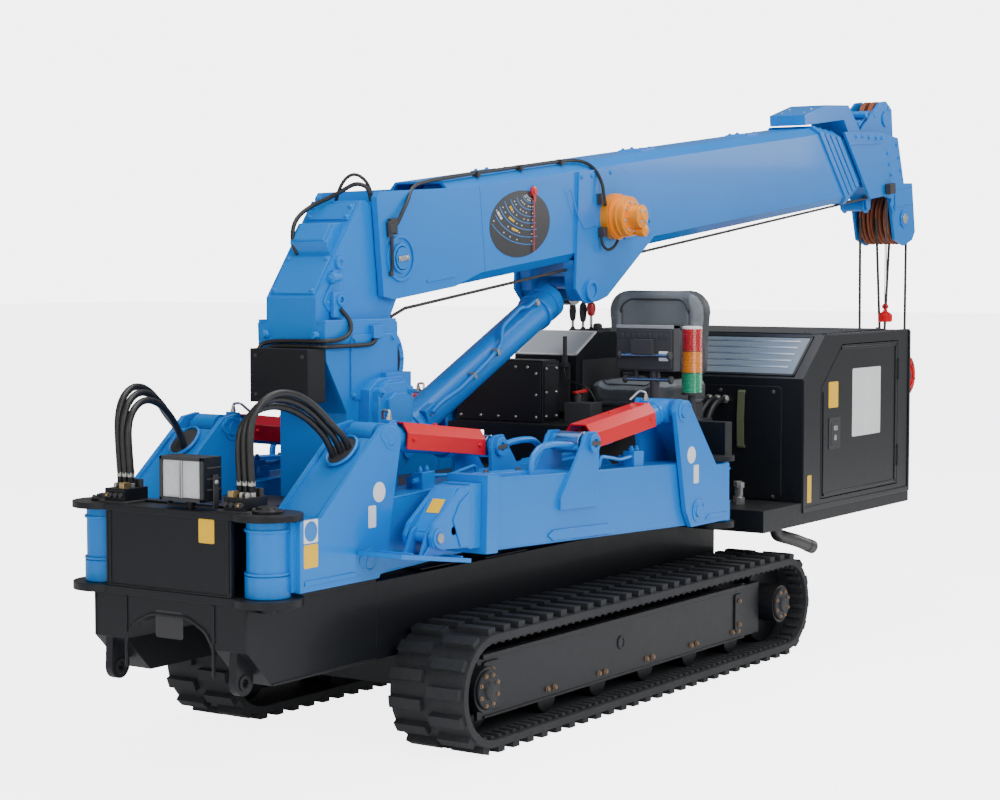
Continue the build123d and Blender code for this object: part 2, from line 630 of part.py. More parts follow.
def post():
    """The column on the turntable, with the head that the boom's fork straddles."""
    low = TURNTABLE_TOP
    column = [(POST_REAR, low), (POST_FRONT, low), (POST_FRONT, WAIST_Z), (BELLY_X - 6, BELLY_Z),
              (BELLY_X, NECK_Z), (POST_REAR, NECK_Z)]
    body = plate_xz(column, -POST_HALF, POST_HALF)
    head = [(POST_REAR, NECK_Z - SLIVER), (BELLY_X, NECK_Z - SLIVER), (BELLY_X, HEAD_FRONT_Z),
            (HEAD_TOP_X, HEAD_TOP_Z), (HEAD_TOP_X - 30, HEAD_TOP_Z), (FOOT_X + 30, FOOT_Z + 105),
            (FOOT_X - 100, FOOT_Z - 40), (POST_REAR - 70, FOOT_Z - 110)]
    body += plate_xz(head, -HEAD_HALF, HEAD_HALF)
    body += rod_y(FOOT_X, FOOT_Z, FOOT_LUG_RADIUS, -HEAD_HALF, HEAD_HALF)
    ears = [(POST_REAR + 20, LIFT_Z - 110), (POST_REAR + 20, LIFT_Z + 110), (LIFT_X, LIFT_Z + 44),
            (LIFT_X - 38, LIFT_Z + 15), (LIFT_X - 38, LIFT_Z - 15), (LIFT_X, LIFT_Z - 44)]
    gap = LIFT_EYE_HALF + 6
    body += both_sides(plate_xz(ears, gap, gap + 28))
    body += block(BELLY_X - 25, BELLY_X, -60, 60, 1335, 1385)
    pin = rod_y(LIFT_X, LIFT_Z, LIFT_PIN_RADIUS, -gap - 34, gap + 34)
    end = BOOM_HALF + 12
    foot_pin = rod_y(FOOT_X, FOOT_Z, FOOT_PIN_RADIUS, -end, end)
    return body + pin + foot_pin


def winch():
    """The hoist winch behind the post: drum cover and gear housing."""
    cover = rod_y(DRUM_X, DRUM_Z, DRUM_RADIUS, -135, 135)
    cover -= block(POST_REAR - 0.2, 300, -200, 200, 900, 1700)
    gear = rod_y(-10, GEAR_Z, 105, POST_HALF, POST_HALF + 62)
    gear += rod_y(-10, GEAR_Z, 60, POST_HALF + 61, POST_HALF + 82)
    strap = block(POST_REAR - 40, -10, POST_HALF, POST_HALF + 30, GEAR_Z - 60, DRUM_Z - 40)
    link = block(POST_REAR - 41, POST_REAR - 0.2, 100, POST_HALF + 30, DRUM_Z - 130, DRUM_Z - 40)
    return cover + gear + strap + link


def junction_box():
    """The black electric box on the front of the post."""
    return block(BELLY_X, BELLY_X + 95, -105, 150, 1210, 1395)


def section_face(shrink, s):
    """The eight-sided cross section of a boom part that is smaller by shrink, at s."""
    half = BOOM_HALF - shrink
    top = BOOM_TOP - shrink
    low = BOOM_BOTTOM + shrink
    cut = BOOM_CHAMFER
    points = [(-s, -half + cut, top), (-s, half - cut, top), (-s, half, top - cut),
              (-s, half, low + cut), (-s, half - cut, low), (-s, -half + cut, low),
              (-s, -half, low + cut), (-s, -half, top - cut)]
    return Face(Wire(Polyline(*points, close=True)))


def boom_tube(shrink, start, end, wall, square=False):
    """A hollow boom section from start to end, cut on the slant at its far end."""
    reach = (BOOM_TOP - BOOM_BOTTOM) * END_SLANT
    long_end = end if square else end + reach
    outside = Solid.extrude(section_face(shrink, start), Vector(start - long_end, 0, 0))
    mouth = end - MOUTH_LENGTH
    inside = Solid.extrude(section_face(shrink + wall, start - 1), Vector(start - mouth - 1, 0, 0))
    guide = shrink + SECTION_STEP - RUNNER_GAP
    throat = Solid.extrude(section_face(guide, mouth - 1), Vector(mouth - long_end - 3, 0, 0))
    tube = outside - inside - throat
    if square:
        return tube
    return tube - beyond(end)


def beyond(end):
    """Everything past a slanted end, to be cut away."""
    low_end = end + (BOOM_TOP + 300 - BOOM_BOTTOM) * END_SLANT
    high_end = end - 100 * END_SLANT
    wedge = [(-high_end, BOOM_TOP + 100), (-low_end, BOOM_BOTTOM - 300),
             (-low_end - 900, BOOM_BOTTOM - 300), (-low_end - 900, BOOM_TOP + 100)]
    return plate_xz(wedge, -BOOM_HALF - 60, BOOM_HALF + 60)


def end_collar(shrink, end, depth):
    """The raised rim round a section's slanted end."""
    proud = shrink - depth
    long_end = end + (BOOM_TOP - BOOM_BOTTOM) * END_SLANT + 40
    ring = Solid.extrude(section_face(proud, end - 60), Vector(end - 60 - long_end, 0, 0))
    ring -= Solid.extrude(section_face(shrink + SLIVER, end - 62), Vector(end - 64 - long_end, 0, 0))
    return ring - beyond(end) - before(end - COLLAR_LENGTH)


def before(end):
    """Everything short of a slanted end, to be cut away."""
    low_end = end + (BOOM_TOP + 300 - BOOM_BOTTOM) * END_SLANT
    high_end = end - 100 * END_SLANT
    wedge = [(-high_end, BOOM_TOP + 100), (-low_end, BOOM_BOTTOM - 300),
             (-high_end + 900, BOOM_BOTTOM - 300), (-high_end + 900, BOOM_TOP + 100)]
    return plate_xz(wedge, -BOOM_HALF - 60, BOOM_HALF + 60)


def boom_base():
    """The boom's outer section: fork, box, and the bracket of the lift cylinder."""
    body = boom_tube(0, BOX_START, BASE_END, BOOM_WALL)
    fork = [(-FORK_FRONT, BOOM_BOTTOM + 20), (-FORK_FRONT, BOOM_TOP - 20), (-FORK_FRONT - 20, BOOM_TOP - 2),
            (-FORK_END, BOOM_TOP - BOOM_CHAMFER - 2), (-FORK_END, BOOM_BOTTOM + BOOM_CHAMFER + 2),
            (-BOX_START, BOOM_BOTTOM + 2), (-FORK_FRONT - 60, BOOM_BOTTOM + 2)]
    inner = BOOM_HALF - FORK_PLATE
    cheek = plate_xz(fork, inner, BOOM_HALF)
    cheek -= rod_y(0, 0, FOOT_PIN_RADIUS + PIN_CLEARANCE, inner - 5, BOOM_HALF + 5)
    cheek -= block(-FORK_END - 5, -BOX_START - 60, inner - 5, BOOM_HALF - BOOM_WALL, -400, 400)
    body += both_sides(cheek)
    body += end_collar(0, BASE_END, 9)
    tip_s, tip_w = boom_line(LIFT_TOP_X, LIFT_TOP_Z)
    ear = [(-1235, BOOM_TOP - BOOM_CHAMFER - 4), (-1157, tip_w + 20), (-1200, tip_w - 32),
           (-1240, tip_w - 50), (-1330, tip_w - 50), (-1400, tip_w - 40), (-1810, -112),
           (-1815, 20), (-1560, BOOM_TOP - BOOM_CHAMFER - 4)]
    body += both_sides(plate_xz(ear, BOOM_HALF - SLIVER, BOOM_HALF + BRACKET_PLATE_Y))
    hanger = [(-1180, BOOM_BOTTOM + 4), (-1190, tip_w + 10), (-1215, tip_w - 32), (-1300, tip_w - 45),
              (-1360, tip_w - 30), (-1560, BOOM_BOTTOM + 4)]
    body += both_sides(plate_xz(hanger, BRACKET_GAP_HALF, BOOM_HALF - 6))
    body += both_sides(rod_y(-tip_s, tip_w, 44, BRACKET_GAP_HALF, BOOM_HALF + BRACKET_PLATE_Y + 8))
    return along_boom(body)


def boom_line(x, z):
    """The s and w of a point of the machine."""
    rise = math.radians(BOOM_RISE)
    dx = x - FOOT_X
    dz = z - FOOT_Z
    s = -dx * math.cos(rise) + dz * math.sin(rise)
    w = dx * math.sin(rise) + dz * math.cos(rise)
    return s, w


def rope_reel():
    """The stepped drum of the cable that follows the boom's tip, on the boom's left side."""
    face = BOOM_HALF + BRACKET_PLATE_Y + 0.3
    reel = rod_y(-REEL_S, REEL_W, REEL_RADIUS, face, face + 34)
    reel += rod_y(-REEL_S, REEL_W, REEL_RADIUS * 0.86, face + 33, face + 92)
    reel += rod_y(-REEL_S, REEL_W, REEL_RADIUS * 0.5, face + 91, face + 146)
    return along_boom(reel)


def boom_section(number):
    """One telescoping section with the rim that shows at its end."""
    shrink = number * SECTION_STEP
    start = BOX_START + 60 + number * TAIL_PITCH
    end = BASE_END + number * COLLAR_PITCH
    body = boom_tube(shrink, start, end, BOOM_WALL)
    if number < SECTION_COUNT:
        body += end_collar(shrink, end, SECTION_STEP - 5)
    return along_boom(body)


def boom_head():
    """The head at the end of the last section, with plates that carry its sheaves."""
    shrink = (SECTION_COUNT + 1) * SECTION_STEP - RUNNER_GAP
    tip = BASE_END + SECTION_COUNT * COLLAR_PITCH
    side = [(-tip - 10, 208), (-4300, 180), (-4524, 132), (-4584, -112), (-4695, -121), (-4712, -385),
            (-4670, -425), (-4560, -445), (-4440, -400), (-4395, -180), (-4330, -158),
            (-tip - 300, -158)]
    low = HEAD_PLATE_HALF
    body = both_sides(plate_xz(side, low, low + HEAD_PLATE))
    core = Solid.extrude(section_face(shrink, tip - 320), Vector(-805, 0, 0))
    core -= Solid.extrude(section_face(shrink + 10, tip - 330), Vector(-780, 0, 0))
    body += core
    body += block(-tip - 480, -tip - 505, -low - 1, low + 1, -110, 165)
    body += block(-4150, -4175, -low - 1, low + 1, 120, 186)
    upper = [(-4060, 150), (-4330, 296), (-4400, 330), (-4480, 330), (-4550, 280), (-4552, 130),
             (-4300, 120)]
    body += both_sides(plate_xz(upper, 62, 74))
    block_side = [(-3450, 266), (-3450, 318), (-3690, 352), (-3960, 336), (-4090, 200), (-4080, 130),
                  (-3990, 130), (-3900, 266)]
    body += plate_xz(block_side, -96, 96)
    for s, w, radius, reach in ((SHEAVE_S, SHEAVE_W, 30, low + HEAD_PLATE + 10),
                                (TOP_SHEAVE_S, TOP_SHEAVE_W, 22, 84)):
        body += rod_y(-s, w, radius, -reach, reach)
    for place in (-0.5, 0.5):
        y = place * SHEAVE_PITCH
        body += rod_y(-TOP_SHEAVE_S, TOP_SHEAVE_W, TOP_SHEAVE_RADIUS, y - 13, y + 13)
    return along_boom(body)


def head_sheaves():
    """The four lower rope sheaves on their common hub."""
    half = SHEAVE_WIDTH / 2
    body = rod_y(-SHEAVE_S, SHEAVE_W, SHEAVE_RADIUS * 0.45, -1.5 * SHEAVE_PITCH, 1.5 * SHEAVE_PITCH)
    for place in (-1.5, -0.5, 0.5, 1.5):
        y = place * SHEAVE_PITCH
        body += rod_y(-SHEAVE_S, SHEAVE_W, SHEAVE_RADIUS, y - half, y + half)
    body -= rod_y(-SHEAVE_S, SHEAVE_W, 30 + PIN_CLEARANCE, -90, 90)
    return along_boom(body)


def hook_block():
    """The red hook block that hangs below the head."""
    x, z = boom_point(SHEAVE_S, SHEAVE_W)
    body = rod_y(x, BLOCK_Z, BLOCK_RADIUS, -BLOCK_HALF, BLOCK_HALF)
    body += plate_xz([(x - 70, BLOCK_Z - 60), (x + 70, BLOCK_Z - 60), (x + 45, BLOCK_Z - 165),
                      (x - 45, BLOCK_Z - 165)], -70, 70)
    body -= rod_z(x, 0, 20 + PIN_CLEARANCE, BLOCK_Z - 200, BLOCK_Z - 90)
    for fall in rope_falls().solids():
        body -= fall
    return body


def rope_falls():
    """The four taut falls between the head's sheaves and the hook block."""
    x, z = boom_point(SHEAVE_S, SHEAVE_W)
    reach = SHEAVE_RADIUS + ROPE_RADIUS + ROPE_GAP
    falls = []
    for place, way in ((-1.5, 1.0), (-0.5, -1.0), (0.5, 1.0), (1.5, -1.0)):
        top = Vector(x + way * reach, place * SHEAVE_PITCH, z)
        foot_x = x + way * (BLOCK_RADIUS - 22)
        low = Vector(foot_x, place * SHEAVE_PITCH * FALL_SPREAD, BLOCK_Z + FALL_SOCKET)
        run = top - low
        falls.append(Solid.extrude(Plane(low, z_dir=run) * Circle(ROPE_RADIUS).face(), run))
    return Compound(falls)


def hook():
    """The forged hook below its block."""
    x, z = boom_point(SHEAVE_S, SHEAVE_W)
    ring = Location((x, 0, HOOK_Z), (90, 0, 0)) * Torus(HOOK_RING, HOOK_WIRE)
    ring -= block(x, x + 120, -60, 60, HOOK_Z, HOOK_Z + 120)
    tip = Location((x + HOOK_RING, 0, HOOK_Z)) * Sphere(HOOK_WIRE)
    shank = rod_z(x, 0, 20, HOOK_Z + HOOK_RING - 15, BLOCK_Z - 95)
    nut = rod_z(x, 0, 32, BLOCK_Z - 192, BLOCK_Z - 170)
    return ring + tip + shank + nut


def cylinder_pair(start, end, eye, barrel, rod):
    """A barrel and its rod between two points, both given in the same upright plane.

    start and end are (x, z) of the two pins. eye is (radius, half width, pin radius),
    barrel is (radius, bore, end) and rod is (radius, start, eye radius, eye half width).
    """
    length = math.dist(start, end)
    slope = math.degrees(math.atan2(end[1] - start[1], end[0] - start[0]))
    place = Location((start[0], 0, start[1]), (0, -slope, 0))
    eye_radius, eye_half, pin = eye
    radius, bore, stop = barrel
    body = rod_y(0, 0, eye_radius, -eye_half, eye_half)
    body += rod_x(0, 0, radius, eye_radius * 0.6, stop)
    body += rod_x(0, 0, radius + 6, stop - 46, stop)
    body -= rod_x(0, 0, bore, eye_radius + 25, stop - 30)
    rod_radius, rod_start, rod_eye, rod_half = rod
    body -= rod_x(0, 0, rod_radius + PIN_CLEARANCE, stop - 60, stop + 10)
    body -= rod_y(0, 0, pin + PIN_CLEARANCE, -eye_half - 5, eye_half + 5)
    shaft = rod_x(0, 0, rod_radius, rod_start, length - rod_eye * 0.5)
    shaft += rod_y(length, 0, rod_eye, -rod_half, rod_half)
    return place, body, shaft


def lift_cylinder():
    """The cylinder that raises the boom."""
    place, barrel, rod = cylinder_pair(
        (LIFT_X, LIFT_Z), (LIFT_TOP_X, LIFT_TOP_Z),
        (50.0, LIFT_EYE_HALF, LIFT_PIN_RADIUS),
        (LIFT_BARREL_RADIUS, LIFT_BORE, LIFT_BARREL_END),
        (LIFT_ROD_RADIUS, LIFT_ROD_START, ROD_EYE_RADIUS, ROD_EYE_HALF))
    PIECES["lift_barrel"] = place * barrel
    PIECES["lift_rod"] = place * rod


def outrigger_place(x, y, heading):
    """Where an outrigger stands: its swing axis, turned so that the folded arm points along it."""
    return Location((x, y, 0), (0, 0, 0 if heading > 0 else 180))


def bracket(reach):
    """The swinging bracket: tube on the king pin, two cheeks and the sloping web."""
    top_x = reach + TOP_PIN_AHEAD
    shoulder = TOP_PLATE_BOTTOM - 4
    outline = [(40, BRACKET_BOTTOM), (reach + 50, BRACKET_BOTTOM), (reach + 95, BRACKET_BOTTOM + 70),
               (top_x + 58, TOP_PIN_Z), (top_x + 30, TOP_PIN_Z + 50), (top_x - 45, TOP_PIN_Z + 40),
               (150, shoulder), (40, shoulder)]
    inner = BRACKET_HALF - BRACKET_PLATE
    low = LIP_BOTTOM + LIP_THICKNESS + TUBE_GAP
    high = TOP_PLATE_BOTTOM - TUBE_GAP
    body = rod_z(0, 0, TUBE_RADIUS, low, high)
    body += rod_z(0, 0, TUBE_RADIUS + 6, low, low + 70)
    body += block(20, 120, -inner - 1, inner + 1, BRACKET_BOTTOM + 3, shoulder - 3)
    body += both_sides(plate_xz(outline, inner, BRACKET_HALF))
    slope = (TOP_PIN_Z + 40 - shoulder) / (top_x - 45 - 150)
    start = 132
    end = top_x - 75
    web = [(start, shoulder - 60), (start, shoulder - 12), (160, shoulder - 6),
           (end, shoulder - 6 + (end - 160) * slope), (end, shoulder - 46 + (end - 160) * slope)]
    body += plate_xz(web, -inner - 1, inner + 1)
    body -= rod_z(0, 0, KING_PIN_RADIUS + PIN_CLEARANCE, low - 10, high + 10)
    for x, z in ((reach, ARM_PIN_Z), (top_x, TOP_PIN_Z)):
        body += rod_y(x, z, ARM_PIN_RADIUS, -BRACKET_HALF - 2, BRACKET_HALF + 2)
    return body


def arm_frame(reach):
    """Where the arm's own line starts: its pin, raised by the arm's rise."""
    return Location((reach, 0, ARM_PIN_Z), (0, -ARM_RISE, 0))


def arm():
    """The outer arm in its own line, x from its pin and z above it."""
    body = block(-ARM_ROOT, ARM_LENGTH, -ARM_HALF, ARM_HALF, -ARM_BELOW, ARM_ABOVE)
    body -= block(ARM_HOLLOW_START, ARM_LENGTH - MOUTH_LENGTH, -ARM_HALF + ARM_WALL, ARM_HALF - ARM_WALL,
                  -ARM_BELOW + ARM_WALL, ARM_ABOVE - ARM_WALL)
    guide = ARM_WALL + INNER_GAP - RUNNER_GAP
    body -= block(ARM_LENGTH - MOUTH_LENGTH - 1, ARM_LENGTH + 5, -ARM_HALF + guide, ARM_HALF - guide,
                  -ARM_BELOW + guide, ARM_ABOVE - guide)
    body -= rod_y(0, 0, ARM_PIN_RADIUS + PIN_CLEARANCE, -ARM_HALF - 5, ARM_HALF + 5)
    collar = block(ARM_LENGTH - 70, ARM_LENGTH, -ARM_HALF - 12, ARM_HALF + 12,
                   -ARM_BELOW - 8, ARM_ABOVE + 12)
    collar -= block(ARM_LENGTH - 75, ARM_LENGTH + 5, -ARM_HALF + 1, ARM_HALF - 1,
                    -ARM_BELOW + 1, ARM_ABOVE - 1)
    body += collar
    lug = [(ARM_EYE_X - 50, 60), (ARM_EYE_X - 50, ARM_EYE_W), (ARM_EYE_X - 30, ARM_EYE_W + 42),
           (ARM_EYE_X + 30, ARM_EYE_W + 42), (ARM_EYE_X + 75, ARM_EYE_W - 20),
           (ARM_EYE_X + 210, 100), (ARM_EYE_X + 210, 60)]
    plate = plate_xz(lug, ARM_HALF, ARM_HALF + 14)
    boss = rod_y(ARM_EYE_X, ARM_EYE_W, 30, CYL_EYE_HALF + 4, ARM_HALF + 24)
    return body + both_sides(plate + boss)


def inner_arm():
    """The inner arm that slides out, with the ears of its foot."""
    half = ARM_HALF - ARM_WALL - INNER_GAP
    low = -ARM_BELOW + ARM_WALL + INNER_GAP
    high = ARM_ABOVE - ARM_WALL - INNER_GAP
    out = ARM_LENGTH + INNER_OUT
    body = block(INNER_START, out, -half, half, low, high)
    body -= block(INNER_START - 5, out - 30, -half + ARM_WALL, half - ARM_WALL, low + ARM_WALL, high - ARM_WALL)
    pin_x = ARM_LENGTH + FOOT_PIN_X
    ears = [(out - 5, high - 5), (out - 5, low + 4), (pin_x - 20, FOOT_PIN_W - 40),
            (pin_x + 30, FOOT_PIN_W - 28), (pin_x + 40, FOOT_PIN_W + 5), (pin_x + 20, FOOT_PIN_W + 45),
            (out + 40, high - 10)]
    body += both_sides(plate_xz(ears, half - 16, half))
    body += rod_y(pin_x, FOOT_PIN_W, 18, -half - 8, half + 8)
    return body


def foot():
    """The foot: a pad under two ears that hang on the inner arm's pin."""
    pin_x = ARM_LENGTH + FOOT_PIN_X
    ear_half = ARM_HALF - ARM_WALL - INNER_GAP - 22
    low = -PAD_DROP
    body = both_sides(plate_xz([(-30, 18), (30, 18), (66, low), (-66, low)], ear_half - 12, ear_half))
    body += both_sides(rod_y(0, 0, 32, ear_half - 12, ear_half))
    x0 = PAD_AHEAD - PAD_LENGTH / 2
    pad = block(x0, x0 + PAD_LENGTH, -PAD_HALF, PAD_HALF, -PAD_THICKNESS, 1)
    body += Location((0, 0, low), (0, -PAD_NOSE_UP, 0)) * pad
    body -= rod_y(0, 0, 18 + PIN_CLEARANCE, -ear_half - 5, ear_half + 5)
    return Location((pin_x, 0, FOOT_PIN_W)) * body


def outrigger_cylinder(reach):
    """The cylinder between a bracket's top pin and its arm's lug, with the guard over it."""
    start = (reach + TOP_PIN_AHEAD, TOP_PIN_Z)
    rise = math.radians(ARM_RISE)
    end = (reach + ARM_EYE_X * math.cos(rise) - ARM_EYE_W * math.sin(rise),
           ARM_PIN_Z + ARM_EYE_X * math.sin(rise) + ARM_EYE_W * math.cos(rise))
    place, barrel, rod = cylinder_pair(
        start, end, (CYL_EYE_RADIUS, CYL_EYE_HALF, ARM_PIN_RADIUS),
        (CYL_RADIUS, CYL_BORE, CYL_BARREL_END),
        (CYL_ROD_RADIUS, CYL_ROD_START, CYL_EYE_RADIUS - 8, CYL_EYE_HALF))
    outside = [(-GUARD_HALF, -34), (-GUARD_HALF, 22), (-GUARD_HALF + 26, 58), (GUARD_HALF - 26, 58),
               (GUARD_HALF, 22), (GUARD_HALF, -34)]
    inside = [(-GUARD_HALF + 5, -40), (-GUARD_HALF + 5, 20), (-GUARD_HALF + 28, 53),
              (GUARD_HALF - 28, 53), (GUARD_HALF - 5, 20), (GUARD_HALF - 5, -40)]
    run = Vector(GUARD_END - GUARD_START, 0, 0)
    shell = Solid.extrude(Face(Wire(Polyline(*[(GUARD_START, y, z) for y, z in outside], close=True))), run)
    shell -= Solid.extrude(Face(Wire(Polyline(*[(GUARD_START - 1, y, z) for y, z in inside], close=True))),
                           run + Vector(2, 0, 0))
    for x in (GUARD_START + 30, CYL_BARREL_END - 26):
        rib = block(x, x + 8, -GUARD_HALF + 1, GUARD_HALF - 1, -20, 24)
        rib += block(x, x + 8, -GUARD_HALF + 27, GUARD_HALF - 27, 20, 57)
        shell += rib - rod_x(0, 0, CYL_RADIUS - 2, x - 5, x + 15)
    return place, barrel + shell, rod


def outriggers():
    """All four outriggers, six pieces each."""
    for name, x, y, reach, heading in OUTRIGGERS:
        place = outrigger_place(x, y, heading)
        line = place * arm_frame(reach)
        PIECES[name + "_bracket"] = place * bracket(reach)
        PIECES[name + "_arm"] = line * arm()
        PIECES[name + "_inner_arm"] = line * inner_arm()
        PIECES[name + "_foot"] = line * foot()
        cylinder_place, barrel, rod = outrigger_cylinder(reach)
        PIECES[name + "_barrel"] = place * cylinder_place * barrel
        PIECES[name + "_rod"] = place * cylinder_place * rod


def build():
    """Build every piece by name."""
    PIECES["chassis"] = chassis()
    PIECES["front_frame"] = front_frame()
    for name, side in (("left", 1), ("right", -1)):
        PIECES["track_" + name] = track(side)
        PIECES["track_frame_" + name] = track_frame(side)
    PIECES["valve_blocks"] = valve_blocks()
    PIECES["work_lamp"] = work_lamp()
    PIECES["engine_base"] = engine_base()
    PIECES["engine_block"] = engine_block()
    PIECES["engine_cover"] = engine_cover()
    PIECES["engine_door"] = engine_door()
    seat()
    PIECES["control_cabinet"] = control_cabinet()
    PIECES["hydraulic_box"] = hydraulic_box()
    PIECES["monitor"] = monitor()
    PIECES["beacon_stack"] = beacon_stack()
    PIECES["turntable"] = turntable()
    PIECES["post"] = post()
    PIECES["winch"] = winch()
    PIECES["junction_box"] = junction_box()
    PIECES["boom_base"] = boom_base()
    PIECES["rope_reel"] = rope_reel()
    for number in range(1, SECTION_COUNT + 1):
        PIECES["boom_section_" + str(number)] = boom_section(number)
    PIECES["boom_head"] = boom_head()
    PIECES["head_sheaves"] = head_sheaves()
    PIECES["hook_block"] = hook_block()
    PIECES["rope_falls"] = rope_falls()
    PIECES["hook"] = hook()
    lift_cylinder()
    outriggers()


build()
boxes = [piece.bounding_box() for piece in PIECES.values()]
SHIFT = -(max(box.max.X for box in boxes) + min(box.min.X for box in boxes)) / 2
os.makedirs("parts", exist_ok=True)
for piece_name, piece in PIECES.items():
    export_step(piece.moved(Location((SHIFT, 0, 0))), "parts/" + piece_name + ".step")
print("pieces", len(PIECES), "shift", round(SHIFT, 3))
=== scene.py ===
"""The looks of a mini crawler crane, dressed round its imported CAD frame.

Sizes are in millimetres from the slewing axis, the middle plane and the ground, as the machine is
drawn, and a Place turns them into the frame's metres.
"""

from __future__ import annotations

import json
import logging
import math
from dataclasses import dataclass
from enum import Enum
from typing import Callable, Sequence, Union

import bmesh
import bpy
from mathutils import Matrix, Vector

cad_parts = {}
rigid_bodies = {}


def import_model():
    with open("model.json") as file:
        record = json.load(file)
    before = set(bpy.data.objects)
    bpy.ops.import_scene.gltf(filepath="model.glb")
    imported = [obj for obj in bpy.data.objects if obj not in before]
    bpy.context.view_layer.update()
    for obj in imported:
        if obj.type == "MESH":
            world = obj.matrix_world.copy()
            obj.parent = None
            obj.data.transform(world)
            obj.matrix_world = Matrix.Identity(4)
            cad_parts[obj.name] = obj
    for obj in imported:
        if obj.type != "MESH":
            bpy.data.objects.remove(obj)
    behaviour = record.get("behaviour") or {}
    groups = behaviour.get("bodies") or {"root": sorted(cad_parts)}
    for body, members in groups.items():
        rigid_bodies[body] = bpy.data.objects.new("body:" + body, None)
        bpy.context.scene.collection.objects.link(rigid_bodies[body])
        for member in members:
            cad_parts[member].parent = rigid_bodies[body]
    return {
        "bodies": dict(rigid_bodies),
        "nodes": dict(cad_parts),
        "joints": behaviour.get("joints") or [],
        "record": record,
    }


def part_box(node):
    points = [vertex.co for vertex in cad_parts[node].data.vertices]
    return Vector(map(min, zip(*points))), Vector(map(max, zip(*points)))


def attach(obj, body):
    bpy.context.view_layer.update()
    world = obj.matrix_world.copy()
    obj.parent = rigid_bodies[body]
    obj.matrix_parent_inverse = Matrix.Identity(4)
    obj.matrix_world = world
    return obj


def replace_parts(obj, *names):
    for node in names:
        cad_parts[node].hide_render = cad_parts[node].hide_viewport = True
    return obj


log = logging.getLogger("crane")

Point = Sequence[float]
Number = Union[float, "Value"]

BOOM_RISE = math.radians(6.5)
ARM_RISE = math.radians(2.2)
PAD_SLOPE = math.tan(math.radians(6.0))
FOOT_PIN = (-150.0, 1706.0)
LIFT_PIN = (-235.0, 1005.0)
LIFT_EYE = (-1440.0, 1575.0)
PIN_REACH = {"front": 405.0, "rear": 310.0}
ARM_PIN_Z = 701.0
TOP_PIN_Z = 1105.0
TOP_PIN_AHEAD = 120.0
ARM_EYE = (800.0, 295.0)
ARM_LENGTH = 1480.0
ARM_HALF = 74.0
GUARD_REACH = 60.0
FOOT_PIN_AHEAD = 250.0
BOOM_HALF = 140.0
BRACKET_FACE = 152.0
LUG_FACE = 270.0
LIFT_EYE_S = 1267.0
LIFT_EYE_W = -276.0
HEAD_X = -4714.0
HOOK_Z = 1085.0
LEAST_RADIUS = 0.05
SIDES = (1, -1)


class Way(Enum):
    """The direction across which a flat outline is given its thickness."""

    ACROSS = "outline along and up"
    UP = "outline along and across"
    ALONG = "outline across and up"


# Places


@dataclass(frozen=True)
class Place:
    """A right-handed working frame: millimetres along, across and up from an origin.

    The origin is in millimetres of the machine, and the three directions are unit vectors.
    """

    origin: Vector
    along: Vector
    across: Vector
    up: Vector
    shift: float

    def at(self, a: float, b: float, c: float) -> Vector:
        """Give a point in the frame's metres.

        Args:
            a: Millimetres along.
            b: Millimetres across.
            c: Millimetres up.

        Returns:
            The point in metres.
        """
        spot = self.origin + self.along * a + self.across * b + self.up * c
        return Vector(((spot.x + self.shift) / 1000, spot.y / 1000, spot.z / 1000))

    def local(self, spot: Vector) -> tuple[float, float, float]:
        """Give how far along, across and up a point of the machine lies."""
        away = spot - self.origin
        return away.dot(self.along), away.dot(self.across), away.dot(self.up)


def machine_place(shift: float) -> Place:
    """Give the place whose directions are the machine's own."""
    return Place(Vector((0, 0, 0)), Vector((1, 0, 0)), Vector((0, 1, 0)), Vector((0, 0, 1)), shift)


def boom_place(shift: float) -> Place:
    """Give the boom's place: s towards the tip, y, and w upwards, from the foot pin."""
    c, s = math.cos(BOOM_RISE), math.sin(BOOM_RISE)
    foot = Vector((FOOT_PIN[0], 0, FOOT_PIN[1]))
    return Place(foot, Vector((-c, 0, s)), Vector((0, 1, 0)), Vector((s, 0, c)), shift)


def line_place(start: Vector, end: Vector, across: Vector, shift: float) -> Place:
    """Give the place of a cylinder between two points of one upright plane.

    Args:
        start: The point that it starts at, in millimetres of the machine.
        end: The point that it runs to.
        across: The direction square to the plane.
        shift: Millimetres from the slewing axis to the frame's origin.

    Returns:
        The place, with up on its upper side.
    """
    along = (end - start).normalized()
    up = along.cross(across)
    return Place(start, along, across, -up if up.z < 0 else up, shift)


def outrigger_places(shift: float) -> dict[str, dict[str, Place]]:
    """Give each outrigger's places: its bracket's and its arm's.

    Args:
        shift: Millimetres from the slewing axis to the frame's origin.

    Returns:
        For each outrigger's name, the places named bracket, arm and cylinder.
    """
    found = {}
    # name, swing axis x, swing axis y, way the folded arm points
    for name, x, y, heading in (
        ("front_left", 850.0, 350.0, -1.0),
        ("front_right", 850.0, -350.0, -1.0),
        ("rear_left", -1760.0, 550.0, 1.0),
        ("rear_right", -1760.0, -550.0, 1.0),
    ):
        outward = Vector((0, math.copysign(1, y), 0))
        level = Place(Vector((x, y, 0)), Vector((heading, 0, 0)), outward, Vector((0, 0, 1)), shift)
        c, s = math.cos(ARM_RISE), math.sin(ARM_RISE)
        pin = Vector((x + heading * PIN_REACH[name.split("_")[0]], y, ARM_PIN_Z))
        arm = Place(pin, Vector((heading * c, 0, s)), outward, Vector((-heading * s, 0, c)), shift)
        top = pin + Vector((heading * TOP_PIN_AHEAD, 0, TOP_PIN_Z - ARM_PIN_Z))
        eye = arm.origin + arm.along * ARM_EYE[0] + arm.up * ARM_EYE[1]
        found[name] = {"bracket": level, "arm": arm, "cylinder": line_place(top, eye, outward, shift)}
    return found


# Shapes


